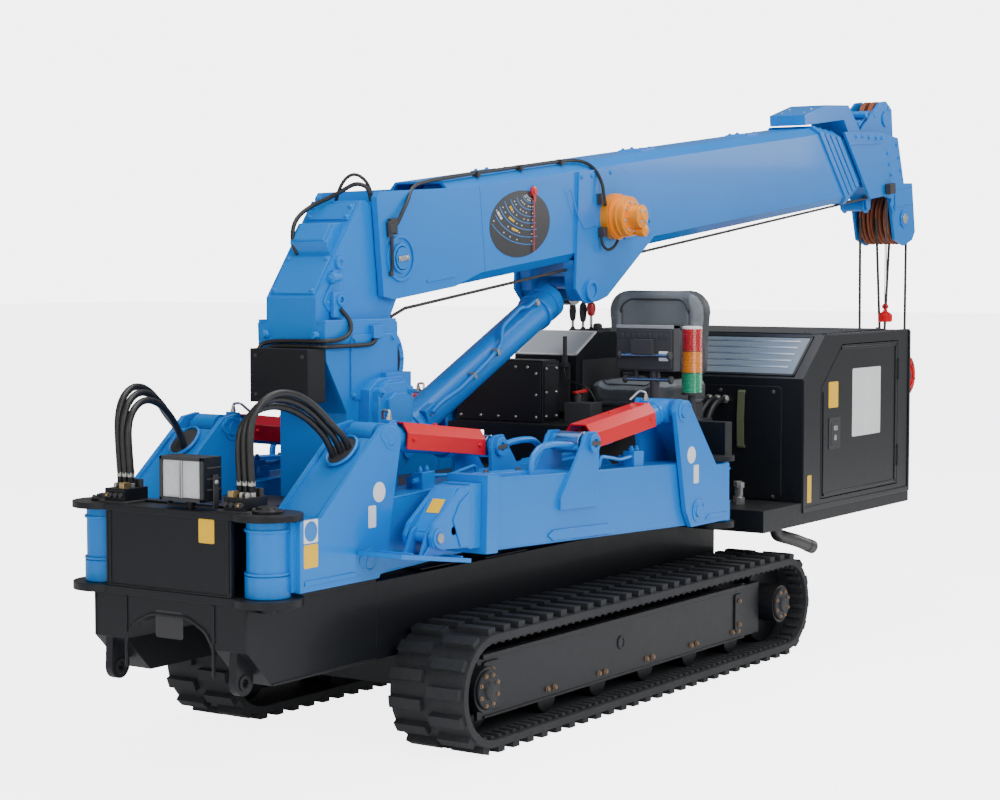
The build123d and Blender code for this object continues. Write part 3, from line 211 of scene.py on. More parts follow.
class Shape:
    """One mesh in the making, built in a place from plates, blocks, rods and pipes."""

    def __init__(self, place: Place) -> None:
        """Start an empty shape in a place."""
        self.place = place
        self.mesh = bmesh.new()

    def _skin(self, rings: Sequence[Sequence[Vector]], hollow: bool = False) -> None:
        """Join rings of points into a skin.

        Args:
            rings: The rings, each with as many points.
            hollow: Whether the last ring joins the first one again, instead of a cap on both.
        """
        made = [[self.mesh.verts.new(p) for p in ring] for ring in rings]
        for low, high in zip(made, made[1:] + made[:1] if hollow else made[1:]):
            for i in range(len(low)):
                j = (i + 1) % len(low)
                self.mesh.faces.new((low[i], low[j], high[j], high[i]))
        if not hollow:
            self.mesh.faces.new(list(reversed(made[0])))
            self.mesh.faces.new(made[-1])

    def _axis(self, start: Point, end: Point) -> tuple[Vector, Vector, Vector, Vector]:
        """Give a line's first point, its direction, and two directions square to it.

        Args:
            start: Where the line starts, in the place's millimetres.
            end: A point that the line points to.

        Returns:
            The point in metres and the three unit directions.
        """
        first = self.place.at(*start)
        line = (self.place.at(*end) - first).normalized()
        side = line.orthogonal().normalized()
        return first, line, side, line.cross(side)

    def plate(self, outline: Sequence[Point], low: float, high: float, way: Way = Way.ACROSS) -> Shape:
        """Add a plate with a flat outline.

        Args:
            outline: Corner points in the two directions that the way names.
            low: Where the thickness starts.
            high: Where the thickness ends.
            way: The direction of the thickness.

        Returns:
            The shape itself.
        """
        spots = {
            Way.ACROSS: lambda p, t: (p[0], t, p[1]),
            Way.UP: lambda p, t: (p[0], p[1], t),
            Way.ALONG: lambda p, t: (t, p[0], p[1]),
        }[way]
        self._skin([[self.place.at(*spots(p, t)) for p in outline] for t in (low, high)])
        return self

    def block(self, a: Point, b: Point) -> Shape:
        """Add a box between two corners."""
        outline = [(a[0], a[2]), (b[0], a[2]), (b[0], b[2]), (a[0], b[2])]
        return self.plate(outline, a[1], b[1])

    def turned(self, start: Point, end: Point, profile: Sequence[Point], sides: int = 28) -> Shape:
        """Add a turned part along the line from start to end.

        Args:
            start: Where the line starts, in the place's millimetres.
            end: A point that the line points to.
            profile: Pairs of distance along the line and radius.
            sides: How many sides the round has.

        Returns:
            The shape itself.
        """
        first, line, side, other = self._axis(start, end)
        self._skin([ring_spots(first + line * distance / 1000, side, other, max(radius, LEAST_RADIUS), sides)
                    for distance, radius in profile])
        return self

    def rod(self, start: Point, end: Point, radius: float, sides: int = 28) -> Shape:
        """Add a plain rod between two points."""
        length = math.dist(start, end)
        return self.turned(start, end, [(0, radius), (length, radius)], sides)

    def ring(self, start: Point, end: Point, outer: float, inner: float, sides: int = 36) -> Shape:
        """Add a flat ring or sleeve between two points.

        Args:
            start: Middle of its one face, in the place's millimetres.
            end: Middle of its other face.
            outer: Its outer radius.
            inner: Its bore's radius.
            sides: How many sides the round has.

        Returns:
            The shape itself.
        """
        length = math.dist(start, end)
        first, line, side, other = self._axis(start, end)
        section = ((0, inner), (0, outer), (length, outer), (length, inner))
        self._skin([ring_spots(first + line * distance / 1000, side, other, radius, sides)
                    for distance, radius in section], hollow=True)
        return self

    def pipe(self, points: Sequence[Point], radius: float, bend: float = 40.0, sides: int = 12) -> Shape:
        """Add a bent pipe through points, with round corners.

        Args:
            points: Corners of the pipe's line.
            radius: The pipe's radius.
            bend: How far from a corner its round stretch starts.
            sides: How many sides the pipe has.

        Returns:
            The shape itself.
        """
        line = rounded([self.place.at(*p) for p in points], bend / 1000)
        rings, side = [], None
        for i, spot in enumerate(line):
            run = (line[min(i + 1, len(line) - 1)] - line[max(i - 1, 0)]).normalized()
            side = run.orthogonal() if side is None else side - run * side.dot(run)
            side = side.normalized()
            rings.append(ring_spots(spot, side, run.cross(side), radius, sides))
        self._skin(rings)
        return self

    def bolt(self, spot: Point, way: Point, size: float = 9.0) -> Shape:
        """Add a hexagon bolt with its washer on a face, its head pointing the given way."""
        end = tuple(s + w for s, w in zip(spot, way))
        self.turned(spot, end, [(-1, size * 1.25), (size * 0.25, size * 1.25)], 20)
        return self.turned(spot, end, [(0, size), (size * 0.85, size), (size, size * 0.82)], 6)

    def bolts(self, spots: Sequence[Point], way: Point, size: float = 9.0) -> Shape:
        """Add like bolts at several spots, their heads pointing the given way."""
        for spot in spots:
            self.bolt(spot, way, size)
        return self

    def data(self, name: str) -> bpy.types.Mesh:
        """Turn the shape into a mesh of the given name."""
        bmesh.ops.recalc_face_normals(self.mesh, faces=self.mesh.faces)
        data = bpy.data.meshes.new(name)
        self.mesh.to_mesh(data)
        self.mesh.free()
        return data

    def piece(
        self, name: str, finish: Finish, body: str, soft: float = 2.0, slot: str = ""
    ) -> bpy.types.Object:
        """Turn the shape into a piece that rides on a body.

        Args:
            name: The piece's name.
            finish: Its finish.
            body: The body that it moves with.
            soft: Millimetres by which its edges are rounded.
            slot: The record's material slot, where it has one; not used.

        Returns:
            The new object.
        """
        thing = linked(name, self.data(name))
        thing.data.shade_smooth()
        thing.data.set_sharp_from_angle(angle=math.radians(34))
        if soft:
            edge = thing.modifiers.new("edge", "BEVEL")
            edge.width = soft / 1000
            edge.segments = 2
            edge.limit_method = "ANGLE"
            edge.angle_limit = math.radians(40)
        thing.data.materials.append(finish.material())
        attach(thing, body)
        log.info("piece %s on %s with %d faces", name, body, len(thing.data.polygons))
        return thing


def ring_spots(middle: Vector, side: Vector, other: Vector, radius: float, sides: int) -> list[Vector]:
    """Give the points of a round of a radius in millimetres, in the plane of two directions."""
    turns = [2 * math.pi * i / sides for i in range(sides)]
    return [middle + (side * math.cos(t) + other * math.sin(t)) * radius / 1000 for t in turns]


def rounded(points: Sequence[Vector], bend: float, steps: int = 6) -> list[Vector]:
    """Round a line's corners with short curved stretches.

    Args:
        points: The line's corners.
        bend: How far from a corner its round stretch starts, in metres.
        steps: How many runs each round stretch has.

    Returns:
        The points of the rounded line.
    """
    line = [points[0]]
    for before, corner, after in zip(points, points[1:], points[2:]):
        near = min(bend, (corner - before).length * 0.49, (after - corner).length * 0.49)
        first = corner + (before - corner).normalized() * near
        last = corner + (after - corner).normalized() * near
        for i in range(steps + 1):
            t = i / steps
            line.append(first * (1 - t) ** 2 + corner * 2 * t * (1 - t) + last * t**2)
    line.append(points[-1])
    return line


def linked(name: str, data: bpy.types.ID) -> bpy.types.Object:
    """Put a new object with its data into the scene."""
    thing = bpy.data.objects.new(name, data)
    bpy.context.scene.collection.objects.link(thing)
    return thing


# Finishes


class Value:
    """A number that a shader works out, with Python's operators for the Math nodes behind it."""

    def __init__(self, shop: ShaderShop, socket: bpy.types.NodeSocket) -> None:
        """Wrap a socket of a shop's node tree."""
        self.shop = shop
        self.socket = socket

    def _math(self, operation: str, first: Number, second: Number) -> Value:
        """Add one Math node."""
        return self.shop.add("ShaderNodeMath", {"operation": operation}, {0: first, 1: second})[0]

    def __add__(self, other: Number) -> Value:
        """Add."""
        return self._math("ADD", self, other)

    __radd__ = __add__

    def __sub__(self, other: Number) -> Value:
        """Take away."""
        return self._math("SUBTRACT", self, other)

    def __rsub__(self, other: Number) -> Value:
        """Be taken away from a number."""
        return self._math("SUBTRACT", other, self)

    def __mul__(self, other: Number) -> Value:
        """Multiply."""
        return self._math("MULTIPLY", self, other)

    __rmul__ = __mul__

    def held(self) -> Value:
        """Hold the value between 0 and 1."""
        return self._math("MAXIMUM", self._math("MINIMUM", self, 1.0), 0.0)


class ShaderShop:
    """Adds nodes to a material's tree."""

    def __init__(self, tree: bpy.types.NodeTree) -> None:
        """Work on a node tree."""
        self.tree = tree
        coordinates = self.add("ShaderNodeTexCoord", {}, {})
        self.spot = coordinates[3]
        self.facing = coordinates[1]

    def add(self, kind: str, settings: dict, inputs: dict) -> list[Value]:
        """Add any node.

        Args:
            kind: The node's type.
            settings: The node's own settings, set first; "stops" holds a ramp's position and colour pairs.
            inputs: Values or links of its sockets, by name or number.

        Returns:
            The node's outputs, in order.
        """
        node = self.tree.nodes.new(kind)
        for key, value in settings.items():
            if key == "stops":
                for element, (spot, colour) in zip(node.color_ramp.elements, value):
                    element.position, element.color = spot, (*colour, 1)
            else:
                setattr(node, key, value)
        for key, value in inputs.items():
            if isinstance(value, Value):
                self.tree.links.new(value.socket, node.inputs[key])
            else:
                node.inputs[key].default_value = value
        return [Value(self, socket) for socket in node.outputs]

    def noise(self, scale: float, detail: float = 3.0, rough: float = 0.55) -> Value:
        """Give a soft noise from 0 to 1 at a number of spots per metre."""
        inputs = {"Vector": self.spot, "Scale": scale, "Detail": detail, "Roughness": rough}
        return self.add("ShaderNodeTexNoise", {}, inputs)[0]

    def mix(self, share: Number, first: Union[Point, Value], second: Union[Point, Value]) -> Value:
        """Mix two colours by a share."""
        first = first if isinstance(first, Value) else (*first, 1)
        second = second if isinstance(second, Value) else (*second, 1)
        return self.add("ShaderNodeMix", {"data_type": "RGBA"}, {0: share, 6: first, 7: second})[2]

    def part(self, vector: Value, axis: int) -> Value:
        """Give one of a vector's three parts."""
        return self.add("ShaderNodeSeparateXYZ", {}, {0: vector})[axis]

    def soft_edge(self, radius: float) -> Value:
        """Give the normal with edges rounded by a radius in metres."""
        return self.add("ShaderNodeBevel", {"samples": 4}, {"Radius": radius})[0]

    def edge_mask(self, rounded_normal: Value) -> Value:
        """Give a mask that is high along edges."""
        normals = {0: rounded_normal, 1: self.add("ShaderNodeNewGeometry", {}, {})[1]}
        level = self.add("ShaderNodeVectorMath", {"operation": "DOT_PRODUCT"}, normals)[1]
        return ((1 - level) * 7).held()

    def bump(self, height: Value, strength: float, distance: float, normal: Value | None = None) -> Value:
        """Give a normal that a height pushes up and down."""
        inputs = {"Strength": strength, "Distance": distance, "Height": height}
        if normal is not None:
            inputs["Normal"] = normal
        return self.add("ShaderNodeBump", {}, inputs)[0]


def scaled(colour: Point, factor: float) -> tuple[float, float, float]:
    """Make a colour lighter or darker."""
    return tuple(min(1.0, c * factor) for c in colour)


@dataclass(frozen=True)
class Finish:
    """What every finish has: a name, a colour and a roughness."""

    name: str
    colour: tuple[float, float, float]
    rough: float = 0.4

    def material(self) -> bpy.types.Material:
        """Give the finish's material, made once."""
        made = bpy.data.materials.get(self.name)
        if made is None:
            made = bpy.data.materials.new(self.name)
            made.use_nodes = True
            made.node_tree.nodes.clear()
            shop = ShaderShop(made.node_tree)
            sockets = self.sockets(shop)
            shader = shop.add("ShaderNodeBsdfPrincipled", {}, sockets)[0]
            shop.add("ShaderNodeOutputMaterial", {}, {0: shader})
        return made

    def sockets(self, shop: ShaderShop) -> dict:
        """Give the shader's socket values."""
        raise NotImplementedError


@dataclass(frozen=True)
class Paint(Finish):
    """Sprayed paint with a faint peel, edges lightened partly as worn paint and partly as a painted
    highlight, and some dust on what faces up.
    """

    coat: float = 0.5
    dust: float = 0.25
    edge_wear_and_highlight: float = 0.35
    soft: float = 0.004

    def sockets(self, shop: ShaderShop) -> dict:
        """Give the paint's socket values."""
        broad = shop.noise(1.7)
        fine = shop.noise(26.0, 6.0, 0.7)
        normal = shop.soft_edge(self.soft)
        edge = shop.edge_mask(normal)
        up = shop.part(shop.facing, 2).held()
        dusty = ((broad * 0.6 + fine * 0.8 - 0.45) * up * self.dust * 2).held()
        colour = shop.mix(broad, scaled(self.colour, 0.9), scaled(self.colour, 1.08))
        # Lighter colour along the edges: partly worn paint, partly a painted highlight.
        colour = shop.mix((edge * fine * self.edge_wear_and_highlight * 1.6).held(), colour, scaled(self.colour, 1.7))
        colour = shop.mix(dusty, colour, (0.33, 0.31, 0.28))
        peel = shop.noise(240.0, 2.0)
        return {
            "Base Color": colour,
            "Roughness": (fine * 0.12 + self.rough - 0.06 + dusty * 0.35).held(),
            "Coat Weight": (self.coat - dusty * 0.4).held(),
            "Coat Roughness": 0.08,
            "Specular IOR Level": 0.28,
            "Normal": shop.bump(peel, 0.05, 0.0006, normal),
        }


@dataclass(frozen=True)
class Rubber(Finish):
    """Worn rubber with patches of ground dust."""

    def sockets(self, shop: ShaderShop) -> dict:
        """Give the rubber's socket values."""
        broad = shop.noise(5.0, 4.0, 0.6)
        fine = shop.noise(60.0, 6.0, 0.7)
        dusty = ((broad * 0.7 + fine * 0.7 - 0.55) * 1.6).held()
        colour = shop.mix(fine, scaled(self.colour, 0.7), scaled(self.colour, 1.3))
        return {
            "Base Color": shop.mix(dusty * 0.22, colour, (0.1, 0.1, 0.1)),
            "Roughness": (fine * 0.2 + self.rough).held(),
            "Normal": shop.bump(fine + shop.noise(220.0, 3.0) * 0.4, 0.35, 0.0016, shop.soft_edge(0.003)),
        }


@dataclass(frozen=True)
class Metal(Finish):
    """Bare, plated or cast metal, with rust or grease where it has some."""

    stain: tuple[float, float, float] = (0.1, 0.09, 0.08)
    stained: float = 0.3
    metal: float = 1.0

    def sockets(self, shop: ShaderShop) -> dict:
        """Give the metal's socket values."""
        broad = shop.noise(14.0, 5.0, 0.65)
        fine = shop.noise(180.0, 4.0)
        stain = ((broad - 0.5 + self.stained * 0.5) * 3).held() * self.stained
        return {
            "Base Color": shop.mix(stain, self.colour, self.stain),
            "Metallic": (self.metal - stain * 0.8).held(),
            "Roughness": (fine * 0.14 + self.rough - 0.07 + stain * 0.3).held(),
            "Normal": shop.bump(fine + broad * 0.5, 0.12, 0.0008, shop.soft_edge(0.002)),
        }


@dataclass(frozen=True)
class Plastic(Finish):
    """Moulded plastic with a fine grain."""

    grain: float = 0.25
    coat: float = 0.0

    def sockets(self, shop: ShaderShop) -> dict:
        """Give the plastic's socket values."""
        fine = shop.noise(420.0, 2.0)
        broad = shop.noise(6.0)
        return {
            "Base Color": shop.mix(broad, scaled(self.colour, 0.88), scaled(self.colour, 1.1)),
            "Roughness": (fine * 0.1 + self.rough - 0.05 + broad * 0.06).held(),
            "Coat Weight": self.coat,
            "Normal": shop.bump(fine, self.grain, 0.0005, shop.soft_edge(0.002)),
        }


@dataclass(frozen=True)
class Vinyl(Finish):
    """Grained seat vinyl with a random tone."""

    def sockets(self, shop: ShaderShop) -> dict:
        """Give the vinyl's socket values."""
        cells = shop.add("ShaderNodeTexVoronoi", {"feature": "F1"}, {"Vector": shop.spot, "Scale": 330.0})[0]
        fine = shop.noise(95.0, 4.0)
        broad = shop.noise(5.0)
        colour = shop.mix(broad * 0.6 + fine * 0.4, scaled(self.colour, 0.82), scaled(self.colour, 1.14))
        return {
            "Base Color": colour,
            "Roughness": (self.rough + fine * 0.14 - cells * 0.1).held(),
            "Normal": shop.bump(cells + fine * 0.6, 0.28, 0.0012),
        }


@dataclass(frozen=True)
class Lens(Finish):
    """A ribbed signal or lamp lens."""

    ribs: float = 260.0

    def sockets(self, shop: ShaderShop) -> dict:
        """Give the lens's socket values."""
        setting = {"wave_type": "BANDS", "bands_direction": "DIAGONAL", "wave_profile": "SIN"}
        wave = shop.add("ShaderNodeTexWave", setting, {"Vector": shop.spot, "Scale": self.ribs})[1]
        fine = shop.noise(70.0)
        # Lighter and darker stripes along the ribs are a painted highlight and shade; the noise adds a random
        # tone.
        colour = shop.mix(fine * 0.5 + wave * 0.5, scaled(self.colour, 0.7), scaled(self.colour, 1.25))
        return {
            "Base Color": colour,
            "Roughness": (self.rough + fine * 0.08).held(),
            "Coat Weight": 0.8,
            "Normal": shop.bump(wave, 0.3, 0.002),
        }


@dataclass(frozen=True)
class Paper(Finish):
    """The studio's pale paper, which looks white and lights the machine only a little."""

    glow: float = 4.3

    def sockets(self, shop: ShaderShop) -> dict:
        """Give the paper's socket values."""
        seen = shop.add("ShaderNodeLightPath", {}, {})[0]
        return {
            "Base Color": (*self.colour, 1),
            "Roughness": self.rough,
            "Emission Color": shop.mix(seen, (0.07, 0.07, 0.07), (1.0, 1.0, 1.0)),
            "Emission Strength": self.glow,
        }


BLUE = Paint("bright_blue_paint", (0.0, 0.19, 0.64), 0.36, coat=0.16, dust=0.03)
BLACK = Paint("charcoal_paint", (0.007, 0.0082, 0.011), 0.42, coat=0.05, dust=0.1, edge_wear_and_highlight=0.4)
COVER = Paint("cover_paint", (0.007, 0.0085, 0.0115), 0.34, coat=0.12, dust=0.07, edge_wear_and_highlight=0.3)
RED = Paint("signal_red_paint", (0.66, 0.0, 0.008), 0.3, coat=0.15, dust=0.02)
ORANGE = Paint("orange_paint", (0.95, 0.23, 0.0), 0.33, coat=0.15, dust=0.02)
PALE = Paint("pale_grey_paint", (0.46, 0.49, 0.52), 0.38, coat=0.2, dust=0.15)
RUBBER = Rubber("track_rubber_worn", (0.009, 0.011, 0.014), 0.62)
HOSE = Rubber("hose_rubber", (0.006, 0.006, 0.0065), 0.34)
VINYL = Vinyl("seat_vinyl_grey", (0.16, 0.18, 0.2), 0.5)
# A darker copy of the seat vinyl: painted shade on the pads' side faces, and the piping's colour.
SIDE_SHADE_AND_PIPING_VINYL = Vinyl("seat_vinyl_dark", (0.045, 0.051, 0.058), 0.5)
CHROME = Metal("hard_chrome", (0.75, 0.77, 0.79), 0.12, stained=0.05)
ZINC = Metal("zinc_steel", (0.5, 0.5, 0.47), 0.34, stained=0.25)
BRASS = Metal("brass", (0.6, 0.42, 0.18), 0.34, stained=0.3)
DARK_STEEL = Metal("dark_steel", (0.12, 0.12, 0.125), 0.42, stain=(0.06, 0.045, 0.035), stained=0.4)
WORN_STEEL = Metal("trodden_steel", (0.33, 0.27, 0.21), 0.55, stain=(0.19, 0.11, 0.06), stained=0.8)
RUSTED = Metal("rusty_sheave", (0.3, 0.13, 0.08), 0.6, stain=(0.28, 0.08, 0.035), stained=0.9, metal=0.6)
ROPE = Metal("greased_rope", (0.13, 0.12, 0.11), 0.5, stain=(0.03, 0.028, 0.025), stained=0.7)
DARK_PLASTIC = Plastic("dark_plastic", (0.012, 0.013, 0.015), 0.45)
GREY_PLASTIC = Plastic("grey_plastic", (0.3, 0.31, 0.32), 0.45)
WHITE_PLASTIC = Plastic("white_plastic", (0.74, 0.74, 0.72), 0.42, coat=0.2)
RED_PLASTIC = Plastic("red_plastic", (0.55, 0.01, 0.014), 0.32, grain=0.1, coat=0.4)
YELLOW_LABEL = Plastic("yellow_label", (0.9, 0.52, 0.0), 0.4, grain=0.05, coat=0.1)
WHITE_LABEL = Plastic("white_label", (0.78, 0.79, 0.8), 0.36, grain=0.05, coat=0.3)
DIAL_FACE = Plastic("dial_face", (0.012, 0.014, 0.018), 0.3, grain=0.05, coat=0.3)
DIAL_BLUE = Plastic("dial_blue", (0.02, 0.2, 0.6), 0.35, grain=0.05)
RED_LENS = Lens("red_lens", (0.5, 0.0, 0.004), 0.16)
AMBER_LENS = Lens("amber_lens", (0.8, 0.22, 0.0), 0.16)
GREEN_LENS = Lens("green_lens", (0.0, 0.3, 0.14), 0.16)
CLEAR_LENS = Lens("clear_lens", (0.62, 0.65, 0.68), 0.12)
STRAP = Rubber("strap_webbing", (0.07, 0.085, 0.04), 0.8)
FLOOR_PAPER = Paper("floor_paper", (0.9, 0.9, 0.91), 0.8)
CLEAR_GLASS = Plastic("panel_glass", (0.16, 0.2, 0.24), 0.14, grain=0.02, coat=0.6)
# Bright strips laid on the slanted screen's glass: painted reflections.
PAINTED_REFLECTIONS = Metal("painted_reflection_strip", (0.55, 0.58, 0.6), 0.3, stained=0.1)


# The machine and its sub-assemblies


@dataclass
class Machine:
    """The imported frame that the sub-assemblies dress."""

    nodes: dict[str, bpy.types.Object]
    shift: float

    def dress(self, finish: Finish, *names: str) -> None:
        """Give whole CAD nodes a finish."""
        for name in names:
            data = self.nodes[name].data
            data.materials.clear()
            data.materials.append(finish.material())

    def tint(self, name: str, finish: Finish, test: Callable[[Vector], bool]) -> None:
        """Give a further finish to some faces of a CAD node.

        Args:
            name: The node's name.
            finish: The further finish.
            test: Says of a face's middle, in the machine's millimetres, whether it gets the finish.
        """
        data = self.nodes[name].data
        data.materials.append(finish.material())
        number = len(data.materials) - 1
        for face in data.polygons:
            middle = face.center * 1000
            if test(Vector((middle.x - self.shift, middle.y, middle.z))):
                face.material_index = number

    def shape(self) -> Shape:
        """Start a shape in the machine's own directions."""
        return Shape(machine_place(self.shift))

    def shapes(self, count: int) -> list[Shape]:
        """Start several shapes in the machine's own directions."""
        return [self.shape() for _ in range(count)]

    def boom_shape(self) -> Shape:
        """Start a shape in the boom's directions."""
        return Shape(boom_place(self.shift))

    def boom_shapes(self, count: int) -> list[Shape]:
        """Start several shapes in the boom's directions."""
        return [self.boom_shape() for _ in range(count)]

    def cord(
        self, name: str, body: str, radius: float, points: Sequence[Point], place: Place | None = None
    ) -> None:
        """Lay a flexible hose or cable that leaves the machine and goes back into it.

        Args:
            name: The piece's name.
            body: The body that it moves with.
            radius: Half its diameter, in millimetres.
            points: Its route's control points in the place's millimetres.
            place: The place, or None for the machine's own.
        """
        place = place or machine_place(self.shift)
        data = bpy.data.curves.new(name, "CURVE")
        data.dimensions = "3D"
        spline = data.splines.new("NURBS")
        spline.points.add(len(points) - 1)
        route = [place.at(*p) for p in points]
        for control, spot in zip(spline.points, route):
            control.co = (*spot, 1)
        spline.order_u = 3
        spline.use_endpoint_u = True
        data.resolution_u = 8
        probe = bpy.data.objects.new(name + "_line", data)
        length = line_length(probe)
        bpy.data.objects.remove(probe)
        data.bevel_depth = radius / 1000
        data.bevel_resolution = 4
        data.materials.append(HOSE.material())
        thing = linked(name, data)
        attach(thing, body)
        radius * 2 / 1000
        log.info("cord %s on %s, %.2f m long", name, body, length)


def line_length(probe: bpy.types.Object) -> float:
    """Measure a curve that has no bevel."""
    mesh = bpy.data.meshes.new_from_object(probe)
    spots = [v.co.copy() for v in mesh.vertices]
    bpy.data.meshes.remove(mesh)
    return sum((b - a).length for a, b in zip(spots, spots[1:]))


def circle(a: float, b: float, radius: float, count: int, start: float = 0.0) -> list[Point]:
    """Give evenly spaced points on a circle, from a start in degrees."""
    turns = [math.radians(start) + 2 * math.pi * i / count for i in range(count)]
    return [(a + radius * math.cos(t), b + radius * math.sin(t)) for t in turns]


def round_box(low_a: float, high_a: float, low_b: float, high_b: float, radius: float) -> list[Point]:
    """Give a rectangle's outline with round corners.

    Args:
        low_a: Its low edge in the first direction.
        high_a: Its high edge there.
        low_b: Its low edge in the second direction.
        high_b: Its high edge there.
        radius: The corners' radius.

    Returns:
        The outline's points.
    """
    outline = []
    for a, b, first in (
        (high_a - radius, high_b - radius, 0),
        (low_a + radius, high_b - radius, 90),
        (low_a + radius, low_b + radius, 180),
        (high_a - radius, low_b + radius, 270),
    ):
        turns = [math.radians(first + 22.5 * step) for step in range(5)]
        outline += [(a + radius * math.cos(t), b + radius * math.sin(t)) for t in turns]
    return outline


def oval(a: float, b: float, half_a: float, half_b: float, count: int = 48) -> list[Point]:
    """Give an oval's outline."""
    turns = [2 * math.pi * i / count for i in range(count)]
    return [(a + half_a * math.cos(t), b + half_b * math.sin(t)) for t in turns]


def frame_edges(low: float, high: float, near: float, far: float, wide: float, deep: float) -> list[Point]:
    """Give the four edges of a rectangular frame.

    Args:
        low: Its low edge in the first direction.
        high: Its high edge there.
        near: Its low edge in the second direction.
        far: Its high edge there.
        wide: How wide the low and high edges are.
        deep: How wide the near and far edges are.

    Returns:
        For each edge, where it starts and ends in the first direction and in the second.
    """
    return [(low, low + wide, near, far), (high - wide, high, near, far),
            (low, high, near, near + deep), (low, high, far - deep, far)]


@dataclass(frozen=True)
class Slope:
    """A sloping line in an upright plane, with runs along it and lifts off its upper side."""

    start: Vector
    along: Vector

    def at(self, run: float, lift: float) -> Point:
        """Give the point at a run and a lift."""
        return tuple(self.start + self.along * run + self.off() * lift)

    def off(self) -> Vector:
        """Give the direction off the slope's upper side."""
        off = Vector((-self.along.y, self.along.x))
        return -off if off.y < 0 else off

    def strip(self, low: float, high: float, base: float, top: float) -> list[Point]:
        """Give the outline between two runs and two lifts."""
        return [self.at(low, base), self.at(high, base), self.at(high, top), self.at(low, top)]


def slope(start: Point, run: Point) -> Slope:
    """Give the slope that starts at a point and runs in a direction."""
    return Slope(Vector(start), Vector(run).normalized())


@dataclass
class Tracks:
    """The rubber tracks' inner ribs, and the bolts, hubs and edges of their frames."""

    machine: Machine
    idler_x: float = 20.0
    sprocket_x: float = -2237.0
    middle_z: float = 220.0
    inside: float = 170.0
    plate_y: float = 587.0
    belt_y: float = 660.0
    rib_pitch: float = 46.0
    hole: tuple[float, float] = (-960.0, 236.0)

    def build(self) -> None:
        """Dress both tracks."""
        self.machine.dress(RUBBER, "track_left", "track_right")
        self.machine.dress(BLACK, "track_frame_left", "track_frame_right")
        for name, side in (("left", 1), ("right", -1)):
            self.ribs(name, side)
            self.frame(name, side)

    def rib_places(self) -> list[tuple[float, float, float]]:
        """Give each inner rib's x, z and turn along the belt's inside."""
        straight = self.idler_x - self.sprocket_x
        bend = math.pi * self.inside
        count = round(2 * (straight + bend) / self.rib_pitch)
        found = []
        for number in range(count):
            run = number * 2 * (straight + bend) / count
            if run < straight:
                found.append((self.idler_x - run, self.middle_z - self.inside, 0.0))
            elif run < straight + bend:
                turn = (run - straight) / self.inside
                found.append((self.sprocket_x - self.inside * math.sin(turn),
                              self.middle_z - self.inside * math.cos(turn), turn))
            elif run < 2 * straight + bend:
                found.append((self.sprocket_x + run - straight - bend, self.middle_z + self.inside, math.pi))
            else:
                turn = (run - 2 * straight - bend) / self.inside
                found.append((self.idler_x + self.inside * math.sin(turn),
                              self.middle_z + self.inside * math.cos(turn), math.pi + turn))
        return found

    def ribs(self, name: str, side: int) -> None:
        """Add the ribs on the belt's inside, beyond the frame.

        Args:
            name: The side's word.
            side: 1 on the left and -1 on the right.
        """
        shape = self.machine.shape()
        section = [(-13, -2), (13, -2), (9, 11), (-9, 11)]
        for x, z, turn in self.rib_places():
            c, s = math.cos(turn), math.sin(turn)
            outline = [(x - a * c + b * s, z + b * c + a * s) for a, b in section]
            shape.plate(outline, side * (self.plate_y + 8), side * (self.belt_y - 6))
        shape.piece(f"track_ribs_{name}", RUBBER, "machine", 0, "track_rubber")

    def frame(self, name: str, side: int) -> None:
        """Add the frame's edges, bolts, covers and hub caps, and a dark disc in its hole as painted shade.

        Args:
            name: The side's word.
            side: 1 on the left and -1 on the right.
        """
        face, out, wheels = side * self.plate_y, (0, side, 0), (self.idler_x, self.sprocket_x)
        edge, hollow, bolts = self.machine.shapes(3)
        edge.block((-1960, face, 318), (0, face + side * 14, 336))
        edge.block((-1960, face, 106), (-20, face + side * 5, 116))
        edge.plate(round_box(-1960, -1890, 140, 300, 14), face, face + side * 7)
        edge.plate(round_box(-120, -14, 130, 306, 14), face, face + side * 7)
        x, z = self.hole
        edge.ring((x, face - side * 2, z), (x, face + side * 4, z), 27, 17)
        # A thin dark disc fills the ring's bore: painted shade in the hole.
        hollow.rod((x, face, z), (x, face + side * 0.8, z), 18)
        cap = [(0, 70), (9, 66), (11, 34), (18, 30), (19, 24)]
        for x in wheels:
            edge.turned((x, face + side * 45, self.middle_z), (x, face + side * 46, self.middle_z), cap, 40)
        edge.piece(f"track_frame_edges_{name}", BLACK, "machine", 2.0, "black_paint")
        hollow.piece(f"track_frame_hole_shade_{name}", DARK_PLASTIC, "machine", 0)
        bolts.bolts([(-460 - n * 360 + step, face, 142) for n in range(5) for step in (-24, 24)], out, 10)
        covers = ((-1925, 170), (-1925, 270), (-66, 160), (-66, 276))
        bolts.bolts([(x, face + side * 7, z) for x, z in covers], out)
        for x in wheels:
            bolts.bolts([(a, face + side * 54, b) for a, b in circle(x, self.middle_z, 55, 8, 22)], out, 7)
        bolts.piece(f"track_frame_bolts_{name}", WORN_STEEL, "machine", 0.6, "forged_steel")


